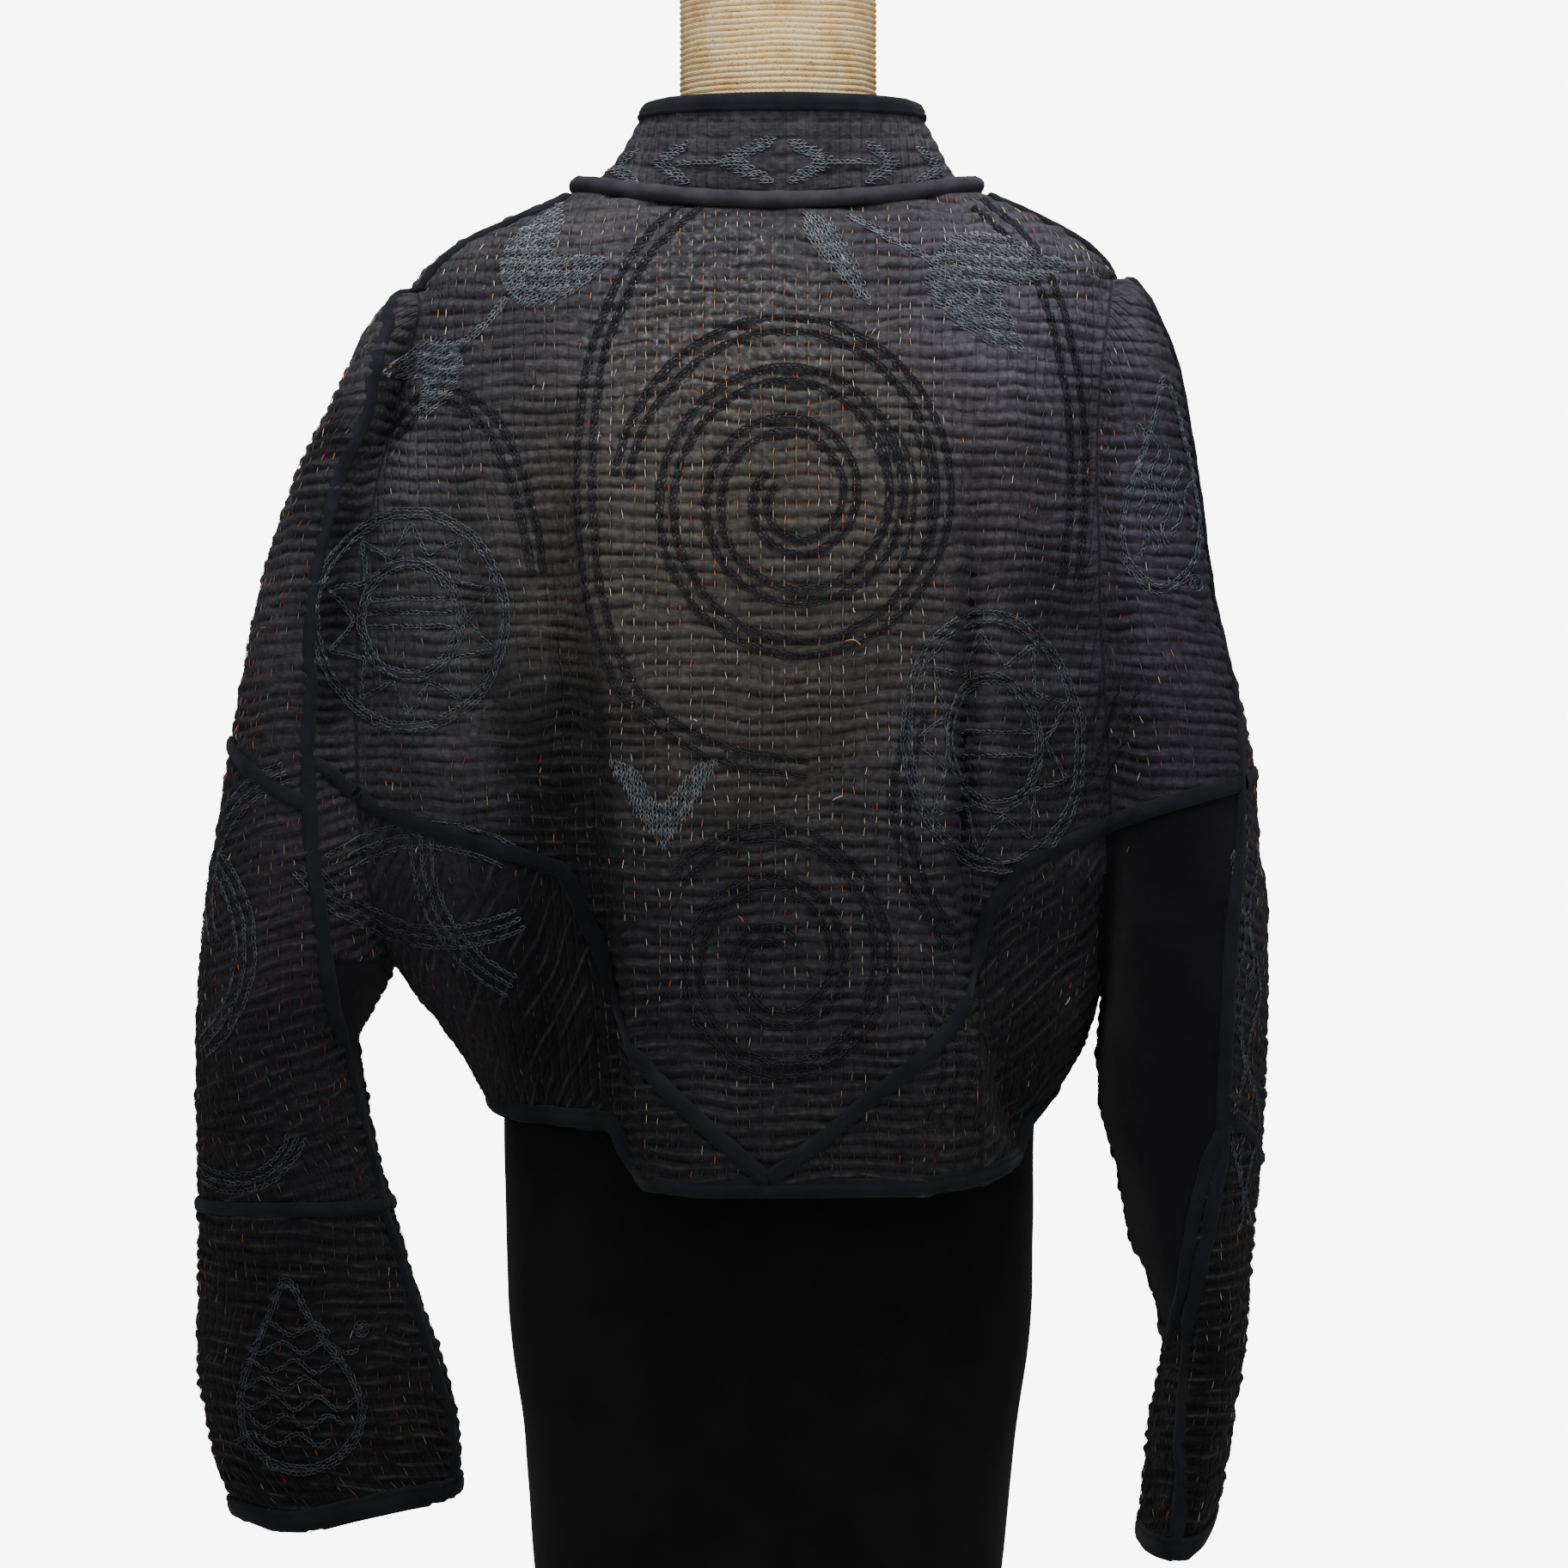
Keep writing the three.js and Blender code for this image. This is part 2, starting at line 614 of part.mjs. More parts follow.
const collarFoot = aroundNeck(last(collarOutside));
const collarFootOut = flatOut(aroundNeck(last(collarOut)));
const pipingSides = 6;
const pipingOut = pipingRadius + 0.65; // its middle from the collar's foot
const pipingUp = pipingRadius - 1.1;
const pipingProfile = (radius) => Array.from({ length: pipingSides }, (_, i) => {
  const angle = (2 * Math.PI * i) / pipingSides;
  return [pipingOut + radius * Math.cos(angle), pipingUp + radius * Math.sin(angle)];
});
const collarPiping = carried(collarFoot, collarFootOut, pipingProfile(pipingRadius))
  .subtract(gather("tapeOver")).subtract(collarClear).subtract(frontGap);
const pipingClear = carried(collarFoot, collarFootOut, pipingProfile(pipingRadius + 2 * seamGap));

// ---- The dress form and its stand ----------------------------------------------------------
const formRoundness = 2.2;
const formColumns = 16;
function formRing(height) {
  const [left, right, back, front] = ["left", "right", "back", "front"].map(
    (column) => sample(formSections, column, height),
  );
  return roundRing(height, left, right, back, front, 0, 0, formRoundness, formColumns);
}
const shoulderLevels = [968, 961, 955, 948, 940, 928, 915, 902];
const lowerLevels = formSections.map((section) => section.height)
  .filter((height) => height < last(shoulderLevels));
const formStack = stack([...shoulderLevels, ...lowerLevels].map(formRing));
const seatFoot = 868; // the jacket rests on the form's shoulders above this level
const roomInside = union([tubes[0].clear, neckRoom]);
const shoulders = alongY([[-far, seatFoot], [far, seatFoot], [far, aboveAll], [-far, aboveAll]], -far, far);
const seated = formStack.intersect(shoulders).intersect(roomInside);
const formTorso = union([seated, formStack.subtract(shoulders)])
  .subtract(cloth.translate(0, 0, -seamGap)).subtract(cloth);

function turned(profile, x, segments) {
  const points = profile.map(([radius, z]) => new THREE.Vector2(radius, z));
  const geometry = new THREE.LatheGeometry(points, segments);
  geometry.rotateX(Math.PI / 2);
  geometry.translate(x, 0, 0);
  return solid(geometry);
}
const neckSegments = 24;
const neckFoot = first(formSections).height + seamGap;
const neckWaist = 1000; // the neck is a little narrower here
const formNeck = turned(
  [
    [0, neckFoot], [neckRadius, neckFoot], [neckRadius - 2, neckWaist],
    [neckRadius, neckTop], [0, neckTop],
  ],
  neckCentreX,
  neckSegments,
);
const capFoot = neckTop + seamGap;
const capRadius = neckRadius - 2;
const neckCap = turned(
  [
    [0, capFoot], [capRadius, capFoot], [capRadius, capFoot + capEdge],
    [capRadius - 6, capFoot + capRise - 2], [0, capFoot + capRise],
  ],
  neckCentreX,
  neckSegments,
);
const baseEdge = 6; // its upper edge is cut off at a slant
const standBase = turned(
  [
    [0, 0], [baseRadius, 0], [baseRadius, baseHeight - baseEdge + 1],
    [baseRadius - baseEdge, baseHeight], [0, baseHeight],
  ],
  0,
  36,
);
const poleFoot = baseHeight + seamGap;
const poleTop = last(formSections).height - seamGap;
const flangeEdge = 4;
const flangeRise = 12;
const socketDepth = 6;
const standPole = turned(
  [
    [0, poleFoot], [poleRadius + poleFlange, poleFoot], [poleRadius + poleFlange, poleFoot + flangeEdge],
    [poleRadius, poleFoot + flangeRise], [poleRadius, poleTop - socketDepth],
    [poleRadius + poleSocket, poleTop - socketDepth], [poleRadius + poleSocket, poleTop], [0, poleTop],
  ],
  0,
  12,
);

// ---- The assembled object ------------------------------------------------------------------
const charcoal = { color: "#2b2c31", roughness: 0.92, metalness: 0 };
const plainBlack = { color: "#15161a", roughness: 0.95, metalness: 0 };
const navyTape = { color: "#151923", roughness: 0.8, metalness: 0 };
const jersey = { color: "#0d0e11", roughness: 0.9, metalness: 0 };
const straw = { color: "#d8bf92", roughness: 0.85, metalness: 0 };
const darkMetal = { color: "#1b1b1d", roughness: 0.45, metalness: 0.6 };

const jacket = new THREE.Group();
function add(name, body, finish) {
  const mesh = largest(body).getMesh();
  const geometry = new THREE.BufferGeometry();
  geometry.setAttribute("position", new THREE.Float32BufferAttribute(mesh.vertProperties, 3));
  geometry.setIndex(Array.from(mesh.triVerts));
  geometry.computeVertexNormals();
  const piece = new THREE.Mesh(geometry, new THREE.MeshStandardMaterial(finish));
  piece.name = name;
  jacket.add(piece);
}

add("back_panel", backPanel, charcoal);
add("back_lower_left", backLower.intersect(leftHalf), plainBlack);
add("back_lower_right", backLower.intersect(rightHalf), plainBlack);
add("front_left", frontUpper.intersect(leftHalf), charcoal);
add("front_right", frontUpper.intersect(rightHalf), charcoal);
add("front_lower_left", frontLower.intersect(leftHalf), charcoal);
add("front_lower_right", frontLower.intersect(rightHalf), charcoal);
add("cuff_left", cuffLeft, charcoal);
add("cuff_right", cuffRight, charcoal);
add("collar_stand", collarStand, charcoal);

add("collar_binding", collarBinding, navyTape);
add("collar_piping", collarPiping, navyTape);
const belowPiping = (body) => body.subtract(pipingClear).subtract(collarClear);
const overarm = (zone) => belowPiping(tapeShell.intersect(zone).subtract(cuffGap));
add("overarm_binding_left", overarm(overarmLeftZone), navyTape);
add("overarm_binding_right", overarm(overarmRightZone), navyTape);
add("v_binding_back_left", seamBinding(backV, -far, -sideRoom).intersect(leftHalf), navyTape);
add("v_binding_back_right", seamBinding(backV, -far, -sideRoom).intersect(rightHalf), navyTape);
add("v_binding_front_left", seamBinding(frontV, sideRoom, far).intersect(leftHalf), navyTape);
add("v_binding_front_right", seamBinding(frontV, sideRoom, far).intersect(rightHalf), navyTape);
add("forearm_binding_left", seamBinding(leftForearm), navyTape);
add("forearm_binding_right", seamBinding(rightForearm), navyTape);
add("cuff_binding_left", tapeShell.intersect(leftCuffZone), navyTape);
add("cuff_binding_right", tapeShell.intersect(rightCuffZone), navyTape);
add("hem_binding", tapeShell.intersect(hemZone).subtract(edgeGap), navyTape);
const frontEdge = (sign) => belowPiping(tapeShell.intersect(edgeStrip(sign, hemWidth)));
add("front_edge_binding_left", frontEdge(-1), navyTape);
add("front_edge_binding_right", frontEdge(1), navyTape);

add("form_torso", formTorso, jersey);
add("form_neck", formNeck, straw);
add("neck_cap", neckCap, jersey);
add("stand_pole", standPole, darkMetal);
add("stand_base", standBase, darkMetal);

export default jacket;
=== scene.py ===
"""A kantha jacket on a limbless dress form: the finish of every surface.

Places are worked out in millimetres, as the model is drawn, and turned into metres in make_mesh.
X runs across the shoulders, +Y is the wearer's front and Z is up.
"""

import math

import bpy
import numpy as np
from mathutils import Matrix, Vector
from mathutils.bvhtree import BVHTree
from mathutils.kdtree import KDTree


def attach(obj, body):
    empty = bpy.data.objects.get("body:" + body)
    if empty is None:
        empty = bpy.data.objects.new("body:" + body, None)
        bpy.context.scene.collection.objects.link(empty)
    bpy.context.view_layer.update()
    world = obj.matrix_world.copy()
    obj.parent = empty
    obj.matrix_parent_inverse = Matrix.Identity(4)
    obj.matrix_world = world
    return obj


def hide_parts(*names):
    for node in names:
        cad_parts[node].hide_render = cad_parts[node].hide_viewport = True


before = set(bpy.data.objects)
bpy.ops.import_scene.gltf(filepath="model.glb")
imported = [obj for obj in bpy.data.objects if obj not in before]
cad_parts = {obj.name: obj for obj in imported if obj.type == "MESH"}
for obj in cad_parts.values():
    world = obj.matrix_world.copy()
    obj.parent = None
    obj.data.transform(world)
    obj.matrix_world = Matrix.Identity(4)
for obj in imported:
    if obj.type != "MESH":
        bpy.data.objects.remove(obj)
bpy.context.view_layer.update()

MM = 0.001
SIDE_Y = 0.0  # the side seams
ROW_STEP = 1.45
RIDGE_PITCH = 7.8
RIDGE_HEIGHT = 1.9
STITCH_SPACING = 6.8
BODY_ROUND = 2.3
SLEEVE_ROUND = 2.2
PANEL_EDGE = 11.0


# ---- Sections of the cloth ----------------------------------------------------------------

class Sections:
    """Smooth columns of a short table, with one row for each height."""

    def __init__(self, names, rows):
        data = np.array(sorted(rows), float)
        self.height = data[:, 0]
        self.columns = {name: data[:, k] for k, name in enumerate(names.split()) if k}

    def at(self, name, z):
        heights, values = self.height, self.columns[name]
        z = np.clip(z, heights[0], heights[-1])
        slopes = np.diff(values) / np.diff(heights)
        before, after = slopes[:-1], slopes[1:]
        inner = np.where(before * after > 0, 2 * before * after / (before + after + 1e-12), 0)
        tangents = np.concatenate([slopes[:1], inner, slopes[-1:]])
        i = np.clip(np.searchsorted(heights, z, side="right") - 1, 0, len(heights) - 2)
        span = heights[i + 1] - heights[i]
        t = (z - heights[i]) / span
        return (
            (2 * t**3 - 3 * t**2 + 1) * values[i]
            + (t**3 - 2 * t**2 + t) * span * tangents[i]
            + (3 * t**2 - 2 * t**3) * values[i + 1]
            + (t**3 - t**2) * span * tangents[i + 1]
        )


BODY = Sections(
    "height left right back front drop_back drop_front panel panel_left panel_right",
    [
        (957, -117, 121, 78, 70, 18, 58, 0, -88, 92),
        (948, -138, 142, 90, 82, 15, 50, 0, -95, 98),
        (938, -163, 165, 100, 92, 12, 40, 0, -102, 104),
        (915, -206, 202, 114, 106, 6, 20, 0, -118, 112),
        (897, -221, 213, 121, 114, 2, 8, 0, -126, 116),
        (863, -233, 217, 129, 122, 0, 0, 0, -130, 118),
        (811, -249, 214, 136, 128, 0, 0, 2, -126, 118),
        (749, -263, 215, 140, 130, 0, 0, 5, -120, 118),
        (681, -271, 217, 136, 130, 0, 0, 11, -112, 114),
        (603, -273, 219, 127, 128, 0, 0, 22, -101, 110),
        (551, -263, 217, 121, 124, 0, 0, 28, -97, 110),
        (520, -247, 210, 118, 120, 0, 0, 31, -95, 114),
        (487, -230, 203, 116, 118, 0, 0, 34, -93, 119),
        (468, -216, 199, 115, 116, 0, 0, 36, -92, 122),
        (444, -196, 190, 114, 115, 0, 0, 38, -91, 127),
        (421, -181, 178, 114, 114, 0, 0, 39, -90, 132),
        (400, -171, 167, 114, 114, 0, 0, 40, -88, 138),
        (374, -171, 167, 114, 114, 0, 0, 38, -83, 146),
        (335, -171, 167, 114, 114, 0, 0, 34, -80, 148),
    ],
)
SLEEVES = {
    -1: Sections(
        "height outer inner depth middle",
        [
            (893, -224, -208, 40, 0),
            (881, -236, -205, 74, 0),
            (865, -246, -211, 86, -2),
            (827, -264, -222, 94, -4),
            (780, -287, -230, 97, -5),
            (715, -308, -236, 97, -6),
            (643, -322, -240, 96, -6),
            (557, -336, -238, 94, -6),
            (509, -343, -232, 91, -6),
            (487, -345, -229, 89, -6),
            (465, -346, -240, 86, -6),
            (442, -347, -251, 80, -7),
            (414, -347, -247, 74, -8),
            (375, -346, -239, 66, -9),
            (334, -346, -227, 57, -10),
            (291, -346, -214, 52, -10),
            (250, -347, -198, 50, -10),
            (213, -341, -189, 50, -10),
            (186, -335, -187, 49, -10),
            (160, -325, -190, 48, -10),
            (135, -320, -192, 48, -10),
        ],
    ),
    1: Sections(
        "height outer inner depth middle",
        [
            (899, 218, 200, 46, 0),
            (881, 229, 196, 76, 0),
            (851, 241, 190, 90, -2),
            (814, 249, 187, 95, -4),
            (772, 255, 185, 97, -5),
            (707, 264, 185, 97, -6),
            (650, 280, 188, 96, -6),
            (607, 289, 192, 95, -6),
            (557, 292, 196, 94, -6),
            (520, 297, 198, 92, -6),
            (468, 297, 199, 88, -6),
            (440, 297, 196, 84, -6),
            (401, 295, 198, 79, -5),
            (366, 293, 208, 76, -4),
            (324, 289, 216, 74, -3),
            (297, 287, 228, 73, -2),
            (259, 284, 237, 74, 0),
            (212, 276, 229, 75, 0),
            (173, 270, 225, 75, 0),
            (149, 262, 223, 74, 0),
            (125, 258, 222, 73, 0),
        ],
    ),
}
COLLAR = Sections(
    "height left right back front drop_back drop_front",
    [
        (957, -117, 121, 78, 70, 18, 58),
        (966, -101, 108, 76, 67, 14, 54),
        (984, -88, 98, 75, 66, 7, 46),
        (1006, -76, 87, 74, 66, 0, 38),
    ],
)
FORM = Sections(
    "height left right back front",
    [
        (968, -58, 64, 60, 58),
        (955, -76, 80, 66, 60),
        (940, -128, 130, 82, 66),
        (915, -172, 172, 98, 78),
        (890, -182, 180, 104, 92),
        (840, -184, 180, 108, 104),
        (740, -164, 160, 104, 112),
        (640, -138, 136, 92, 100),
        (560, -134, 130, 88, 92),
        (480, -158, 152, 100, 98),
        (402, -164, 159, 105, 102),
        (291, -162, 158, 104, 100),
        (197, -151, 147, 98, 96),
        (108, -144, 137, 92, 92),
        (95, -138, 131, 88, 88),
    ],
)

# Seams as (x, z) points on the hanging cloth.
OVERARM = {
    -1: [(-222, 905), (-227, 881), (-241, 815), (-257, 780), (-271, 706), (-276, 620), (-273, 557),
         (-262, 465), (-249, 402), (-232, 333), (-209, 261), (-195, 217), (-192, 179), (-192, 140)],
    1: [(214, 905), (226, 881), (240, 851), (254, 772), (263, 707), (276, 640), (277, 603), (276, 557),
        (271, 512), (267, 421), (266, 374), (258, 332), (248, 276), (242, 192), (241, 130)],
}
BACK_V = [(-300, 624), (-268, 607), (-253, 594), (-234, 581), (-206, 572), (-178, 564), (-150, 555),
          (-122, 546), (-102, 500), (-82, 441), (-56, 413), (-32, 391), (-3, 366), (24, 387), (62, 417),
          (90, 440), (108, 459), (116, 482), (126, 520), (143, 548), (170, 560), (199, 573), (226, 583),
          (253, 591), (278, 598), (310, 606)]
FRONT_V = [(-360, 654), (-330, 626), (-308, 604), (-284, 588), (-234, 578), (-178, 564), (-122, 530),
           (-82, 462), (-56, 426), (-32, 396), (-3, 366), (24, 387), (62, 432), (108, 488), (143, 536),
           (199, 567), (253, 586), (284, 600), (320, 622)]
FOREARM = {
    -1: [(-170, 410), (-240, 402), (-255, 399), (-282, 392), (-300, 383), (-318, 372), (-342, 357),
         (-370, 344)],
    1: [(180, 240), (237, 259), (245, 300), (248, 332), (258, 374), (270, 400), (285, 387), (292, 372),
        (330, 350)],
}
BACK_HEM = [(-200, 405), (-171, 403), (-150, 397), (-96, 394), (-88, 376), (-76, 361), (-40, 357), (80, 357),
            (120, 362), (146, 372), (152, 392), (167, 409), (200, 415)]
FRONT_HEM = [(-200, 405), (-60, 396), (60, 396), (200, 415)]
CUFF = {
    -1: [(-370, 158), (-325, 158), (-296, 151), (-274, 153), (-247, 160), (-221, 165), (-197, 168),
         (-160, 182)],
    1: [(200, 147), (225, 139), (245, 136), (253, 142), (264, 154), (290, 170)],
}


def line_z(line, x):
    xs, zs = np.array(line, float).T
    return np.interp(x, xs, zs)


def line_x(line, z):
    ordered = sorted(line, key=lambda point: point[1])
    xs, zs = np.array(ordered, float).T
    return np.interp(z, zs, xs)


def bulge(place, roundness):
    return (1 - np.minimum(1, np.abs(place)) ** roundness) ** (1 / roundness)


def smooth_step(value):
    t = np.clip(value, 0, 1)
    return t * t * (3 - 2 * t)


def waves(seed, count, longest, shortest):
    """A smooth random field of two numbers, as a sum of plane waves, from about -1 to 1."""
    random = np.random.default_rng(seed)
    lengths = np.exp(random.uniform(np.log(shortest), np.log(longest), count))
    angles = random.uniform(0, 2 * np.pi, count)
    phases = random.uniform(0, 2 * np.pi, count)
    weights = lengths / lengths.sum() * 1.6

    def field(a, b):
        total = 0
        for length, angle, phase, weight in zip(lengths, angles, phases, weights):
            total = total + weight * np.sin(
                2 * np.pi * (a * math.cos(angle) + b * math.sin(angle)) / length + phase
            )
        return total

    return field


drape = waves(3, 14, 260, 70)
wander = waves(8, 16, 110, 28)
lumps = waves(9, 26, 26, 9)
rumple = waves(4, 18, 70, 22)
stitch_drift = waves(5, 12, 240, 60)
ridge_change = waves(6, 16, 60, 14)


# ---- The draped surface, as four grids that meet along the valleys --------------------------

# Folds laid on the back: start and end as (x, z), how far it sinks, and its width.
BACK_FOLDS = [
    ((118, 770), (112, 560), -13, 9),
    ((-126, 800), (-116, 590), -13, 11),
    ((-176, 700), (-150, 560), -6, 10),
    ((96, 905), (112, 780), -4, 8),
    ((-98, 900), (-112, 780), -4, 8),
    ((128, 700), (128, 540), 7, 12),
    ((-150, 820), (-118, 640), -5, 13),
    ((-205, 840), (-160, 610), -6, 15),
    ((-232, 770), (-205, 590), 5, 14),
    ((-140, 600), (-128, 420), -8, 14),
    ((160, 840), (172, 600), -7, 14),
    ((186, 760), (190, 560), 5, 12),
    ((-60, 640), (-52, 380), 4, 18),
    ((-20, 560), (-12, 370), -4, 14),
    ((36, 600), (44, 372), -5, 15),
    ((72, 560), (84, 372), 4, 14),
    ((-70, 905), (-96, 800), -3, 14),
    ((76, 900), (108, 800), -3, 14),
    ((0, 870), (10, 700), 3, 40),
]


def fold_depth(x, z, folds):
    total = np.zeros(np.broadcast(x, z).shape)
    for (x0, z0), (x1, z1), depth, width in folds:
        along = ((x - x0) * (x1 - x0) + (z - z0) * (z1 - z0)) / ((x1 - x0) ** 2 + (z1 - z0) ** 2)
        near = np.clip(along, 0, 1)
        off = np.hypot(x - x0 - near * (x1 - x0), (z - z0 - near * (z1 - z0)) * 0.55)
        taper = 0.35 + 0.65 * np.sin(np.pi * np.clip(near, 0.02, 0.98)) ** 0.6
        total += depth * taper * np.exp(-((off / width) ** 2))
    return total


def body_back_depth(x, z):
    """How far the back stands behind the side seams."""
    left, right = BODY.at("left", z), BODY.at("right", z)
    place = (x - (left + right) / 2) / ((right - left) / 2)
    shape = bulge(place, BODY_ROUND)
    in_panel = np.minimum(x - BODY.at("panel_left", z), BODY.at("panel_right", z) - x)
    panel = BODY.at("panel", z) * smooth_step(in_panel / PANEL_EDGE)
    calm = smooth_step(shape * 2.2) * smooth_step((935 - z) / 60)
    loose = fold_depth(x, z, BACK_FOLDS) + 2.6 * drape(x, z) + 0.9 * rumple(x, z)
    return BODY.at("back", z) * shape + panel + calm * loose - trough_depth(-1, x, z) - trough_depth(1, x, z)


def body_front_depth(x, z):
    left, right = BODY.at("left", z), BODY.at("right", z)
    place = (x - (left + right) / 2) / ((right - left) / 2)
    shape = bulge(place, BODY_ROUND)
    calm = smooth_step(shape * 2.2) * smooth_step((935 - z) / 60)
    loose = 2.6 * drape(x + 700, z) + 0.9 * rumple(x + 700, z)
    return BODY.at("front", z) * shape + calm * loose


def sleeve_depth(side, x, z):
    table = SLEEVES[side]
    outer, inner = table.at("outer", z), table.at("inner", z)
    place = (x - (outer + inner) / 2) / (np.abs(outer - inner) / 2)
    return np.where(np.abs(place) < 1, table.at("depth", z) * bulge(place, SLEEVE_ROUND), 0)


# The trough beside each overarm seam: height, how far it sinks, how far in from the seam, and its width.
TROUGHS = {
    -1: Sections("height depth inward width", [
        (890, 0, 10, 8), (866, 9, 13, 8), (800, 13, 14, 9), (700, 15, 15, 9), (640, 12, 15, 8),
        (598, 4, 14, 8),
        (560, 0, 14, 8),
    ]),
    1: Sections("height depth inward width", [
        (880, 0, 24, 8), (850, 3, 26, 9), (780, 5, 30, 10), (700, 4, 30, 10), (620, 3, 26, 9),
        (560, 0, 24, 8),
    ]),
}


def trough_depth(side, x, z):
    table = TROUGHS[side]
    off = side * (line_x(OVERARM[side], z) - x) - table.at("inward", z)
    return table.at("depth", z) * np.exp(-((off / table.at("width", z)) ** 2))


def valley(side, z, body_depth):
    """Where the sleeve's surface meets the body's, at each height."""
    edge = BODY.at("left" if side < 0 else "right", z)
    near, distant = edge.copy(), SLEEVES[side].at("inner", z)
    for _ in range(40):
        middle = (near + distant) / 2
        sleeve_outside = sleeve_depth(side, middle, z) > body_depth(middle, z)
        near = np.where(sleeve_outside, middle, near)
        distant = np.where(sleeve_outside, distant, middle)
    return (near + distant) / 2


OUTER_COLUMNS, INNER_SHARE, CALM_ROWS = 12, 0.8, 14


def calmed(lengths):
    """Each length made no longer than its neighbours', and then evened out."""
    padded = np.pad(lengths, CALM_ROWS, mode="edge")
    windows = np.lib.stride_tricks.sliding_window_view(padded, 2 * CALM_ROWS + 1)
    padded = np.pad(windows.min(axis=1), CALM_ROWS, mode="edge")
    return np.lib.stride_tricks.sliding_window_view(padded, 2 * CALM_ROWS + 1).mean(axis=1)


def resample(points, count, across):
    """Columns along each row: even and steady in the middle, and stretched to the row's ends beyond it."""
    steps = np.linalg.norm(np.diff(points, axis=1), axis=2)
    lengths = np.concatenate([np.zeros((len(points), 1)), np.cumsum(steps, axis=1)], axis=1)
    past = across[:, 3:-3] > 0
    zero = lengths[np.arange(len(points)), np.argmax(past, axis=1) + 3]
    low, high = zero, lengths[:, -1] - zero
    inner_low, inner_high = INNER_SHARE * calmed(low), INNER_SHARE * calmed(high)
    out = np.empty((len(points), count, 3))
    for j, (line, length) in enumerate(zip(points, lengths)):
        start, end = zero[j] - inner_low[j], zero[j] + inner_high[j]
        places = np.concatenate([
            np.linspace(0, start, OUTER_COLUMNS, endpoint=False),
            np.linspace(start, end, count - 2 * OUTER_COLUMNS),
            np.linspace(end, length[-1], OUTER_COLUMNS + 1)[1:],
        ])
        for k in range(3):
            out[j, :, k] = np.interp(places, length, line[:, k])
    return out


def body_grid(z, ends, depth_at, drop_name, way, count):
    """Rows across the back or the front between the two ends at each height."""
    share = (1 - np.cos(np.pi * np.linspace(0, 1, 420))) / 2
    x = ends[0][:, None] + (ends[1] - ends[0])[:, None] * share
    level = np.repeat(z[:, None], x.shape[1], axis=1)
    depth = depth_at(x, level)
    left, right = BODY.at("left", level), BODY.at("right", level)
    shape = bulge((x - (left + right) / 2) / ((right - left) / 2), BODY_ROUND)
    points = np.stack([x, SIDE_Y + way * depth, level - BODY.at(drop_name, level) * shape**2], axis=2)
    return resample(points, count, (x - 3.0) * (1 if way < 0 else -1))


def sleeve_grid(side, z, back_x, front_x, joined, count):
    """Rows round the sleeve, from the valley behind, over its outer side, to the valley in front."""
    table = SLEEVES[side]
    outer, inner = table.at("outer", z), table.at("inner", z)
    middle, half = (outer + inner) / 2, np.abs(outer - inner) / 2

    def angle_of(x):
        place = np.clip(side * (x - middle) / half, -1, 1)
        angle = np.arccos(np.sign(place) * np.abs(place) ** (SLEEVE_ROUND / 2))
        return np.where(joined, angle, np.pi)

    start, end = angle_of(back_x), -angle_of(front_x)
    angles = start[:, None] + (end - start)[:, None] * np.linspace(0, 1, 300)
    across = np.sign(np.cos(angles)) * np.abs(np.cos(angles)) ** (2 / SLEEVE_ROUND)
    deep = np.sign(np.sin(angles)) * np.abs(np.sin(angles)) ** (2 / SLEEVE_ROUND)
    x = middle[:, None] + side * half[:, None] * across
    level = np.repeat(z[:, None], x.shape[1], axis=1)
    loose = (2.4 * drape(x * 1.3 + deep * 90, level) + 0.9 * rumple(x + deep * 90, level)) * smooth_step(
        np.abs(deep) * 3
    )
    y = table.at("middle", z)[:, None] - (table.at("depth", z)[:, None] + loose) * deep
    y += trough_depth(side, x, level) * smooth_step(deep * 3)
    return resample(np.stack([x, y, level], axis=2), count, -deep)


TOP = 957.0
LOW = 352.0
SLEEVE_LOW = {-1: 146.0, 1: 130.0}
body_z = np.arange(TOP, LOW, -ROW_STEP)
COLUMNS = {"back": 132, "front": 92, "sleeve": 78}


def clamp_to_edge(points, line):
    """Cloth below an edge line is drawn up to it."""
    xs, zs = np.array(line, float).T
    edge = np.interp(points[..., 0], xs, zs)
    points[..., 2] = np.maximum(points[..., 2], edge)


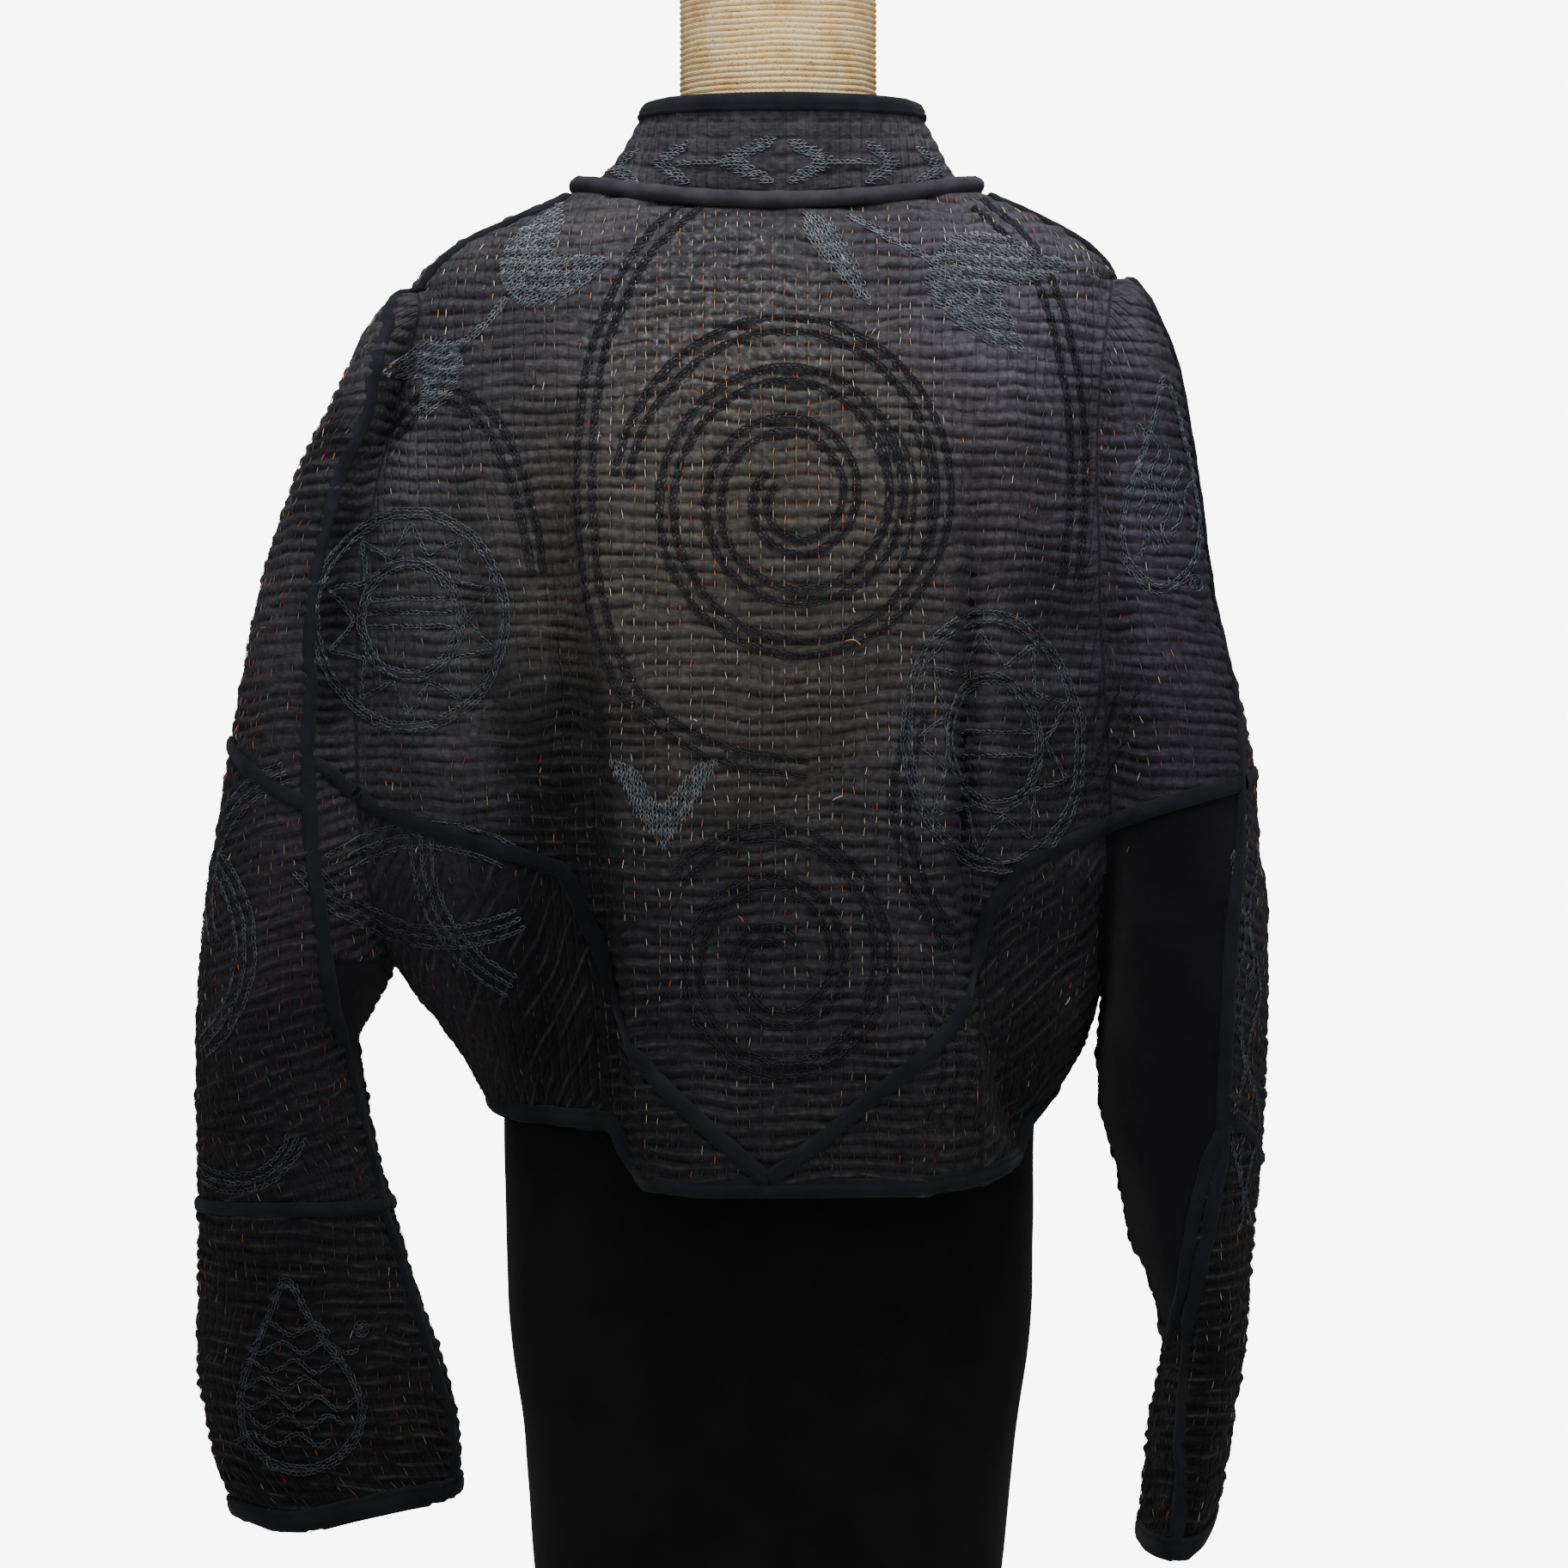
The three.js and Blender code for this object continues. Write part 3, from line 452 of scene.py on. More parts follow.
def lay_out():
    ends, joined, stands_out = {}, {}, {}
    for side in (-1, 1):
        edge = BODY.at("left" if side < 0 else "right", body_z)
        outer, inner = SLEEVES[side].at("outer", body_z), SLEEVES[side].at("inner", body_z)
        below_cap = body_z < SLEEVES[side].height[-1]
        stands_out[side] = below_cap & (side * (outer - edge) > 0.2)
        overlap = side * (edge - inner) > 0.2
        joined[side] = stands_out[side] & overlap
        for name, depth in (("back", body_back_depth), ("front", body_front_depth)):
            meet = valley(side, body_z, depth)
            ends[side, name] = np.where(joined[side], meet, edge)
    back = body_grid(body_z, (ends[-1, "back"], ends[1, "back"]), body_back_depth, "drop_back", -1,
                     COLUMNS["back"])
    front = body_grid(
        body_z, (ends[1, "front"], ends[-1, "front"]), body_front_depth, "drop_front", 1, COLUMNS["front"]
    )
    grids = {"back": back, "front": front}
    starts = {}
    for side in (-1, 1):
        first = int(np.argmax(stands_out[side]))
        rows = np.concatenate([body_z[first:], np.arange(body_z[-1] - ROW_STEP, SLEEVE_LOW[side], -ROW_STEP)])
        extra = len(rows) - (len(body_z) - first)
        pad = np.zeros(extra, bool)
        is_joined = np.concatenate([joined[side][first:], pad])
        back_x = np.concatenate([ends[side, "back"][first:], np.zeros(extra)])
        front_x = np.concatenate([ends[side, "front"][first:], np.zeros(extra)])
        grid = sleeve_grid(side, rows, back_x, front_x, is_joined, COLUMNS["sleeve"])
        cap = np.repeat(back[first - 1, 0 if side < 0 else -1][None, None], COLUMNS["sleeve"], axis=1)
        grids[side] = np.concatenate([cap, grid])
        starts[side] = first - 1
        # The edges of the sleeve's grid are the body's own points.
        rows_joined = np.nonzero(joined[side])[0]
        here = rows_joined - starts[side]
        grids[side][here, 0] = back[rows_joined, 0 if side < 0 else -1]
        grids[side][here, -1] = front[rows_joined, -1 if side < 0 else 0]
    soften(grids, joined, starts)
    for side in (-1, 1):
        # The sleeve's head is a small ring, so that no face there has two corners in one place.
        tip = back[starts[side], 0 if side < 0 else -1]
        grids[side][0] = tip + 0.03 * (grids[side][1] - tip)
    clamp_to_edge(grids["back"], BACK_HEM)
    clamp_to_edge(grids["front"], FRONT_HEM)
    for side in (-1, 1):
        clamp_to_edge(grids[side], CUFF[side])
    return grids, joined, starts


def soften(grids, joined, starts, rounds=26, reach=9):
    """Rounds the creases where the grids meet, along each row."""
    back, front = grids["back"], grids["front"]
    rows = len(back)
    for _ in range(rounds):
        for side in (-1, 1):
            sleeve, first = grids[side], starts[side]
            is_joined = joined[side][:, None]
            last = min(rows, first + len(sleeve))
            body_rows = np.arange(first, last)
            for body, back_half in ((back, True), (front, False)):
                body_way = 1 if (side < 0) == back_half else -1
                line = body if body_way > 0 else body[:, ::-1]
                other = front if back_half else back
                other_line = other[:, ::-1] if body_way > 0 else other
                ring = sleeve if back_half else sleeve[:, ::-1]
                across = np.where(is_joined, 0, 1) * other_line[:, 1]
                sleeve_next = np.zeros_like(across)
                sleeve_next[body_rows] = ring[: last - first, 1]
                neighbour = np.where(is_joined, sleeve_next, other_line[:, 1])
                for k in range(reach):
                    before = neighbour if k == 0 else line[:, k - 1]
                    weight = 0.5 * (1 - k / reach)
                    line[:, k] += weight * ((before + line[:, k + 1]) / 2 - line[:, k])
                for k in range(1, reach):
                    weight = 0.5 * (1 - k / reach)
                    middle = (ring[:, k - 1] + ring[:, k + 1]) / 2
                    ring[1:, k] += weight * (middle[1:] - ring[1:, k])
                rows_joined = np.nonzero(joined[side])[0]
                ring[rows_joined - first, 0] = line[rows_joined, 0]
        # The side and shoulder seams stay closed.
        for side, b, f in ((-1, 0, -1), (1, -1, 0)):
            apart = ~joined[side]
            middle = (back[apart, b] + front[apart, f]) / 2
            back[apart, b] = middle
            front[apart, f] = middle
            sleeve = grids[side]
            loose = np.arange(len(sleeve)) + starts[side]
            loose = (loose >= rows) | ~joined[side][np.minimum(loose, rows - 1)]
            loose[0] = False
            seam = (sleeve[loose, 1] + sleeve[loose, -2]) / 2
            sleeve[loose, 0] += 0.5 * (seam - sleeve[loose, 0])
            sleeve[loose, -1] = sleeve[loose, 0]


grids, joined, starts = lay_out()


def normals_of(grid):
    down = np.gradient(grid, axis=0)
    across = np.gradient(grid, axis=1)
    normal = np.cross(down, across)
    length = np.linalg.norm(normal, axis=2, keepdims=True)
    return normal / np.maximum(length, 1e-9)


def arc_coordinate(grid, name):
    """Distance along each row from the body's middle, or from the outer side of a sleeve."""
    steps = np.linalg.norm(np.diff(grid, axis=1), axis=2)
    lengths = np.concatenate([np.zeros((len(grid), 1)), np.cumsum(steps, axis=1)], axis=1)
    across = grid[..., 0] if name in ("back", "front", "collar") else grid[..., 1] + 5.0
    past = across[:, 1:-1] * across[:, -2][:, None] > 0
    changes = past[:, 1:] & ~past[:, :-1]
    after = np.argmax(changes, axis=1) + 2
    rows = np.arange(len(grid))
    before = after - 1
    one, other = across[rows, before], across[rows, after]
    share = np.clip(one / np.where(np.abs(one - other) < 1e-9, 1, one - other), 0, 1)
    zero = lengths[rows, before] + share * (lengths[rows, after] - lengths[rows, before])
    return lengths - zero[:, None]


def on_back_of_sleeve(side, points):
    """True on the part of a sleeve that belongs to the back."""
    x, y, z = points[..., 0], points[..., 1], points[..., 2]
    return (y < SIDE_Y) & (side * (line_x(OVERARM[side], z) - x) > 0)


def quilted(name, points):
    """How much quilting stands up at each point: 1 on quilted cloth and 0 on plain cloth."""
    x, y, z = points[..., 0], points[..., 1], points[..., 2]
    if name == "back":
        plain_cloth = 0.9 * smooth_step((x - 192) / 8) * (z < line_z(BACK_V, x))
        pressed = 0.6 * np.exp(-(((x + 122) / 26) ** 2)) * smooth_step((600 - z) / 60)
        return 1 - np.maximum(plain_cloth, pressed)
    if name == "front":
        return np.ones_like(x)
    behind = on_back_of_sleeve(name, points)
    low = z < np.minimum(line_z(BACK_V, x), 492 if name < 0 else 2000)
    above_cuff = z > line_z(FOREARM[name], x)
    return 1 - 0.9 * (behind & low & above_cuff)


def row_change(row, along):
    """A number from 0 to 1 that drifts along each row of quilting, with no tie to the rows beside it."""
    start = np.floor(along + row * 0.618)
    share = smooth_step(along + row * 0.618 - start)

    def value(cell):
        return np.mod(np.sin(row * 127.1 + cell * 311.7) * 43758.5453, 1.0)

    return value(start) * (1 - share) + value(start + 1) * share


def level_along_rows(name, points, arc):
    """The height that a row of quilting keeps: its own z, or slanted on the pieces cut another way."""
    x, z = points[..., 0], points[..., 2]
    below = z < line_z(FRONT_V if name == "front" else BACK_V, x)
    if name == "back":
        left, right = below & (x < -100), below & (x > 120)
        return np.where(left, 0.55 * z - 0.8 * arc, np.where(right, 0.8 * z - 0.55 * arc, z))
    if name == "front":
        return np.where(below, z + 0.2 * np.abs(arc), z)
    cuff = z < line_z(FOREARM[name], x)
    return z + np.where(cuff, -0.08, np.where(below, 0.26, 0.05)) * arc


surface = {}
for grid_name, grid in grids.items():
    columns = grid.shape[1]
    normal = normals_of(grid)
    probe = normal[len(grid) // 3, columns // 2]
    facing = {"back": probe[1] * -1, "front": probe[1], -1: -probe[0], 1: probe[0]}[grid_name]
    normal = normal * (1 if facing > 0 else -1)
    arc = arc_coordinate(grid, grid_name)
    z = grid[..., 2]
    shift = {"back": 0, "front": 900, -1: 1700, 1: 2500}[grid_name]
    wave_height = 2.8 * stitch_drift(arc + shift, z) + 3.0 * wander(arc + shift, z * 0.9)
    wave_height += 1.5 * lumps(arc * 0.55 + shift, z * 0.3 + 500)
    phase = (level_along_rows(grid_name, grid, arc) + wave_height) / RIDGE_PITCH
    crest = 0.5 + 0.5 * np.cos(2 * np.pi * phase)
    lump = 0.5 * ridge_change(arc * 0.8 + shift, z * 1.6) + 0.4 * lumps(arc + shift, z * 1.2)
    swell = np.clip(0.35 + 1.25 * row_change(np.round(phase), arc / 17.0) + 0.4 * lump, 0.1, 1.75)
    bridge = smooth_step((row_change(np.floor(phase) + 0.37, arc / 14.0) - 0.52) / 0.25)
    crest = crest**0.7
    height = RIDGE_HEIGHT * (swell * crest + 0.55 * bridge * (1 - crest))
    edge = np.minimum(np.arange(columns), np.arange(columns)[::-1])
    fade = smooth_step(edge / 4.0)
    height = height * fade * quilted(grid_name, grid)
    top_fade = smooth_step((TOP - 3 - z) / 8) if grid_name in ("back", "front") else 1
    raised = grid + normal * (height * top_fade)[..., None]
    if grid_name in (-1, 1):
        raised[:3] = grid[:3] + (raised[:3] - grid[:3]) * np.array([0, 0.35, 0.7])[:, None, None]
    surface[grid_name] = {
        "points": raised, "normals": normal, "arc": arc, "phase": phase, "smooth": grid,
    }


# ---- Making meshes ---------------------------------------------------------------------------

def make_mesh(name, points, faces, uv=None):
    mesh = bpy.data.meshes.new(name)
    points = np.asarray(points, float) * MM
    faces = np.asarray(faces, np.int32)
    corners = faces.shape[1]
    mesh.vertices.add(len(points))
    mesh.vertices.foreach_set("co", points.ravel())
    mesh.loops.add(faces.size)
    mesh.loops.foreach_set("vertex_index", faces.ravel())
    mesh.polygons.add(len(faces))
    mesh.polygons.foreach_set("loop_start", np.arange(len(faces), dtype=np.int32) * corners)
    mesh.update(calc_edges=True)
    if uv is not None:
        layer = mesh.uv_layers.new(name="cloth")
        layer.data.foreach_set("uv", (np.asarray(uv)[faces.ravel()] * MM).ravel())
    mesh.validate()
    mesh.polygons.foreach_set("use_smooth", np.ones(len(mesh.polygons), bool))
    thing = bpy.data.objects.new(name, mesh)
    bpy.context.scene.collection.objects.link(thing)
    return thing


def grid_faces(rows, columns, closed=False):
    j, i = np.meshgrid(np.arange(rows - 1), np.arange(columns if closed else columns - 1), indexing="ij")
    here = j * columns + i
    nxt = j * columns + (i + 1) % columns
    return np.stack([here, here + columns, nxt + columns, nxt], axis=-1).reshape(-1, 4)


def add_piece(thing, material, slot, *nodes):
    thing.data.materials.append(material)
    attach(thing, "root")
    if nodes:
        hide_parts(*nodes)
    return thing


# ---- The cut pieces ---------------------------------------------------------------------------

def node_of(name, points):
    """The cut piece that each point of a grid belongs to."""
    x, y, z = points[..., 0], points[..., 1], points[..., 2]
    side_name = np.where(x < 0, "left", "right")
    if name == "back":
        return np.where(z > line_z(BACK_V, x), "back_panel", np.char.add("back_lower_", side_name))
    if name == "front":
        upper = np.char.add("front_", side_name)
        return np.where(z > line_z(FRONT_V, x), upper, np.char.add("front_lower_", side_name))
    word = "left" if name < 0 else "right"
    behind = on_back_of_sleeve(name, points)
    back = np.where(z > line_z(BACK_V, x), "back_panel", "back_lower_" + word)
    front = np.where(z > line_z(FRONT_V, x), "front_" + word, "front_lower_" + word)
    cuff = z < line_z(FOREARM[name], x)
    return np.where(cuff, "cuff_" + word, np.where(behind, back, front))


OPENING = {"x": 2, "top": 960, "bottom": 380, "top_width": 14, "bottom_width": 52}


def half_opening(z):
    share = np.clip((OPENING["top"] - z) / (OPENING["top"] - OPENING["bottom"]), 0, 1)
    return (OPENING["top_width"] + share * (OPENING["bottom_width"] - OPENING["top_width"])) / 2


def sheet_parts(layer, row_step, column_step):
    """Vertices, faces and UVs of each cut piece, taken from every grid."""
    parts = {}
    for name, data in surface.items():
        rows = np.arange(0, data["points"].shape[0] + row_step - 1, row_step)
        rows = np.unique(np.minimum(rows, data["points"].shape[0] - 1))
        columns = np.arange(0, data["points"].shape[1] + column_step - 1, column_step)
        columns = np.unique(np.minimum(columns, data["points"].shape[1] - 1))
        pick = np.ix_(rows, columns)
        if layer == "outside":
            points = data["points"][pick]
        else:
            points = (data["smooth"] - 2.6 * data["normals"])[pick]
        uv = np.stack([data["arc"][pick], RIDGE_PITCH * data["phase"][pick]], axis=-1)
        faces = grid_faces(len(rows), len(columns))
        flat = points.reshape(-1, 3)
        middle = flat[faces].mean(axis=1)
        owners = node_of(name, middle)
        height = np.ptp(flat[faces][..., 2], axis=1) + np.ptp(flat[faces][..., 0], axis=1)
        kept = height > 1e-4
        if name == "front":
            kept &= np.abs(middle[:, 0] - OPENING["x"]) > half_opening(middle[:, 2])
        turn = faces_point_out(points, data["normals"][pick], faces)
        for owner in np.unique(owners):
            chosen = faces[(owners == owner) & kept]
            if len(chosen) == 0:
                continue
            if turn == (layer == "outside"):
                chosen = chosen[:, ::-1]
            used, index = np.unique(chosen, return_inverse=True)
            parts.setdefault(str(owner), []).append(
                (flat[used], index.reshape(chosen.shape), uv.reshape(-1, 2)[used])
            )
    return parts


def faces_point_out(points, normals, faces):
    """True where the grid's faces have to be turned over to face outwards."""
    flat, directions = points.reshape(-1, 3), normals.reshape(-1, 3)
    a, b, c = (flat[faces[:, k]] for k in (0, 1, 2))
    across = np.cross(b - a, c - a)
    return bool((across * directions[faces[:, 0]]).sum() < 0)


def joined_parts(pieces):
    """One set of vertices and faces, with points that fall together made one."""
    points, faces, uvs = [], [], []
    offset = 0
    for flat, index, uv in pieces:
        points.append(flat)
        faces.append(index + offset)
        uvs.append(uv)
        offset += len(flat)
    points, faces, uvs = np.concatenate(points), np.concatenate(faces), np.concatenate(uvs)
    _, first, inverse = np.unique(np.round(points, 3), axis=0, return_index=True, return_inverse=True)
    return points[first], inverse.reshape(-1)[faces], uvs[first]


outsides = sheet_parts("outside", 1, 1)
insides = sheet_parts("inside", 6, 3)


# ---- Places on the cloth ------------------------------------------------------------------------

def cloth_tree(names, layer="smooth", step=2, least_area=1e-6):
    """A search tree of the cells of some grids, without the cells that have no area."""
    points, faces = [], []
    offset = 0
    for name in names:
        grid = surface[name][layer][::step, ::step]
        points.append(grid.reshape(-1, 3))
        faces.append(grid_faces(*grid.shape[:2]) + offset)
        offset += grid.shape[0] * grid.shape[1]
    points, faces = np.concatenate(points), np.concatenate(faces)
    quads = points[faces]
    spans = np.cross(quads[:, 2] - quads[:, 0], quads[:, 3] - quads[:, 1])
    real = np.linalg.norm(spans, axis=1) > least_area
    return BVHTree.FromPolygons(points.tolist(), faces[real].tolist())


tree = cloth_tree(["back", "front", -1, 1])


def on_cloth(x, z, way):
    """The point and the outward direction of the cloth seen from behind (way -1) or in front (way 1)."""
    hit, normal, _, _ = tree.ray_cast(Vector((x, way * 400, z)), Vector((0, -way, 0)), 800)
    if hit is None or hit.y * way < -30:
        hit, normal, _, _ = tree.find_nearest(Vector((x, 0, z)))
    if normal.y * way < 0:
        normal = -normal
    return np.array(hit), np.array(normal)


def smooth_line(points, step):
    """A curve through the points with one point every step."""
    points = np.asarray(points, float)
    padded = np.concatenate([[2 * points[0] - points[1]], points, [2 * points[-1] - points[-2]]])
    out = []
    for p0, p1, p2, p3 in zip(padded, padded[1:], padded[2:], padded[3:]):
        for t in np.linspace(0, 1, 12, endpoint=False):
            out.append(
                0.5 * (2 * p1 + (p2 - p0) * t + (2 * p0 - 5 * p1 + 4 * p2 - p3) * t**2
                       + (3 * p1 - p0 - 3 * p2 + p3) * t**3)
            )
    out.append(points[-1])
    return even_line(np.array(out), step)


def even_line(points, step):
    lengths = np.concatenate([[0], np.cumsum(np.linalg.norm(np.diff(points, axis=0), axis=1))])
    count = max(2, int(round(lengths[-1] / step)) + 1)
    places = np.linspace(0, lengths[-1], count)
    return np.stack([np.interp(places, lengths, points[:, k]) for k in range(points.shape[1])], axis=1)


def relax(path, rounds):
    path = path.copy()
    for _ in range(rounds):
        path[1:-1] = (path[:-2] + 2 * path[1:-1] + path[2:]) / 4
    return path


def across_line(path):
    """The outward and the sideways direction at every point of a path that lies on the cloth."""
    ahead = np.gradient(path, axis=0)
    ahead /= np.maximum(np.linalg.norm(ahead, axis=1, keepdims=True), 1e-9)
    outs = np.array([outward_at(point) for point in path])
    outs = relax(outs, 3)
    outs -= ahead * (outs * ahead).sum(axis=1, keepdims=True)
    outs /= np.maximum(np.linalg.norm(outs, axis=1, keepdims=True), 1e-9)
    return outs, np.cross(ahead, outs)


def outward_at(point):
    hit, normal, _, _ = tree.find_nearest(Vector(point))
    hit, normal = np.array(hit), np.array(normal)
    middle = middle_of(point)
    return normal if np.dot(normal, hit - middle) > 0 else -normal


def middle_of(point):
    """The middle of the limb or the body that a point belongs to, for telling out from in."""
    x, _, z = point
    for side in (-1, 1):
        table = SLEEVES[side]
        edge = BODY.at("left" if side < 0 else "right", z)
        if z < 890 and side * (x - edge) > -22:
            inner, outer = table.at("inner", z), table.at("outer", z)
            return np.array([(inner + outer) / 2, table.at("middle", z), z])
    return np.array([0, 0, z])


def tape(name, path, width, height, wrinkle, seed, material, columns=10):
    """A folded strip of cloth laid along a path, with its edges turned under and two rows of stitching."""
    outs, sides = across_line(path)
    field = waves(seed, 14, 34, 7)
    places = np.linspace(-1, 1, columns)
    lengths = np.concatenate([[0], np.cumsum(np.linalg.norm(np.diff(path, axis=0), axis=1))])
    points = np.empty((len(path), columns, 3))
    for j, (point, out, side) in enumerate(zip(path, outs, sides)):
        for k, place in enumerate(places):
            start = point + side * (place * width / 2)
            hit, _, _, distance = tree.find_nearest(Vector(start))
            base = np.array(hit) if distance < 6 else start
            swell = height * (1 - 0.55 * abs(place) ** 3.4)
            groove = 0.45 * math.exp(-(((abs(place) - 0.72) / 0.09) ** 2))
            ripple = wrinkle * field(lengths[j], place * width * 0.8) * (1 - 0.5 * abs(place) ** 2)
            points[j, k] = base + out * (1.1 + swell - groove + ripple)
    under = points - outs[:, None] * (height + 1.6)
    ring = np.concatenate([points, under[:, ::-1]], axis=1)
    faces = grid_faces(len(path), ring.shape[1], closed=True)
    flat = ring.reshape(-1, 3)
    uv = np.stack([np.repeat(lengths, ring.shape[1]),
                   np.tile(np.linspace(0, 2 * width, ring.shape[1]), len(path))],
                  axis=1)
    thing = make_mesh(name, flat, faces, uv)
    turn_out(thing)
    return thing, points


def turn_out(thing):
    """Turns a closed mesh's faces outwards."""
    mesh = thing.data
    points = np.empty(len(mesh.vertices) * 3)
    mesh.vertices.foreach_get("co", points)
    points = points.reshape(-1, 3)
    mesh.calc_loop_triangles()
    triangles = np.empty(len(mesh.loop_triangles) * 3, np.int32)
    mesh.loop_triangles.foreach_get("vertices", triangles)
    a, b, c = (points[triangles.reshape(-1, 3)[:, k]] for k in range(3))
    if (a * np.cross(b, c)).sum() < 0:
        mesh.flip_normals()


def clip_line(line, start, end, step=3.0):
    """Points of an (x, z) line from one x to another, close together."""
    xs = np.linspace(start, end, max(2, int(abs(end - start) / step) + 2))
    return [(x, float(line_z(line, x))) for x in xs]


def laid_path(places, step=2.4, rounds=3):
    """A path on the cloth through (x, z, way) places."""
    points = []
    for x, z, way in places:
        point, _ = on_cloth(x, z, way)
        points.append(point)
    return relax(even_line(np.array(points), step), rounds)


def outer_edge(side, z):
    table = SLEEVES[side]
    return float(table.at("outer", z)), float(table.at("middle", z))


def sleeve_turn(side, line, toward):
    """Where an (x, z) line leaves the sleeve's outline, on its outer or inner side."""
    table = SLEEVES[side]
    low, high = line[0][0], line[-1][0]
    xs = np.linspace(low, high, 600)
    zs = line_z(line, xs)
    gap = np.abs(xs - table.at(toward, zs))
    k = int(np.argmin(gap))
    return float(xs[k]), float(zs[k])


# ---- Finishes -----------------------------------------------------------------------------------

def linear(rgb):
    """Linear colour from 0-255 display values."""
    share = np.array(rgb, float) / 255
    return tuple(np.where(share <= 0.04045, share / 12.92, ((share + 0.055) / 1.055) ** 2.4)) + (1.0,)


class Nodes:
    def __init__(self, name):
        self.material = bpy.data.materials.new(name)
        self.material.use_nodes = True
        self.tree = self.material.node_tree
        self.shader = self.tree.nodes["Principled BSDF"]

    def add(self, kind, inputs=(), **settings):
        node = self.tree.nodes.new(kind)
        for key, value in settings.items():
            setattr(node, key, value)
        for key, value in dict(inputs).items():
            self.put(node.inputs[key], value)
        return node

    def put(self, socket, value):
        if isinstance(value, bpy.types.NodeSocket):
            self.tree.links.new(value, socket)
        else:
            socket.default_value = value

    def set(self, **values):
        for key, value in values.items():
            self.put(self.shader.inputs[key.replace("_", " ")], value)

    def noise(self, scale, detail=3.0, vector=None):
        node = self.add("ShaderNodeTexNoise", {"Scale": scale, "Detail": detail})
        if vector is not None:
            self.put(node.inputs["Vector"], vector)
        return node.outputs["Fac"]

    def ramp(self, value, *stops):
        node = self.add("ShaderNodeValToRGB", {"Fac": value})
        elements = node.color_ramp.elements
        while len(elements) < len(stops):
            elements.new(0.5)
        for element, (place, colour) in zip(elements, stops):
            element.position = place
            element.color = colour
        return node.outputs["Color"]

    def mix(self, share, one, other, kind="MIX"):
        node = self.add("ShaderNodeMix", data_type="RGBA", blend_type=kind)
        self.put(node.inputs[0], share)
        self.put(node.inputs[6], one)
        self.put(node.inputs[7], other)
        return node.outputs[2]

    def math(self, operation, one, other=0.0, third=0.0):
        node = self.add("ShaderNodeMath", operation=operation)
        for socket, value in zip(node.inputs, (one, other, third)):
            self.put(socket, value)
        return node.outputs[0]

    def place(self, kind="Object"):
        return self.add("ShaderNodeTexCoord").outputs[kind]

    def axes(self, vector):
        node = self.add("ShaderNodeSeparateXYZ", {"Vector": vector})
        return node.outputs[0], node.outputs[1], node.outputs[2]

    def band(self, value, low, high):
        """1 above high, 0 below low and a smooth change between."""
        node = self.add("ShaderNodeMapRange", interpolation_type="SMOOTHSTEP")
        for key, number in (("Value", value), ("From Min", low), ("From Max", high)):
            self.put(node.inputs[key], number)
        return node.outputs[0]

    def bump(self, height, strength, distance):
        node = self.add("ShaderNodeBump", {"Height": height, "Strength": strength, "Distance": distance})
        self.put(self.shader.inputs["Normal"], node.outputs["Normal"])


def weave(nodes, uv, pitch=0.0007):
    """Threads over and under each other in both directions of the cloth."""
    u, v, _ = nodes.axes(uv)
    across = nodes.math("SINE", nodes.math("MULTIPLY", u, 2 * math.pi / pitch))
    along = nodes.math("SINE", nodes.math("MULTIPLY", v, 2 * math.pi / pitch))
    return nodes.math("MULTIPLY", across, along)


def spot(nodes, vector, centre, radius):
    """1 at a place and 0 beyond a radius round it."""
    distance = nodes.add("ShaderNodeVectorMath", {0: vector, 1: centre},
                         operation="DISTANCE").outputs["Value"]
    return nodes.math("SUBTRACT", 1.0, nodes.band(distance, radius * 0.2, radius))


def paint_shade_spots(nodes, place, cloth, places):
    """Painted shade: darker spots in some places, each a centre, a radius and how dark."""
    for centre, radius, strength, dark in places:
        share = nodes.math("MULTIPLY", spot(nodes, place, centre, radius), strength)
        cloth = nodes.mix(share, cloth, linear(dark))
    return cloth


def painted_shade_below(nodes, place, colour, levels):
    """Painted shade that deepens lower down: the share of the colour that is left at each height."""
    high = nodes.axes(place)[2]
    share = nodes.ramp(high, *[(z, (value, value, value, 1)) for z, value in levels])
    return nodes.mix(1.0, colour, share, "MULTIPLY")
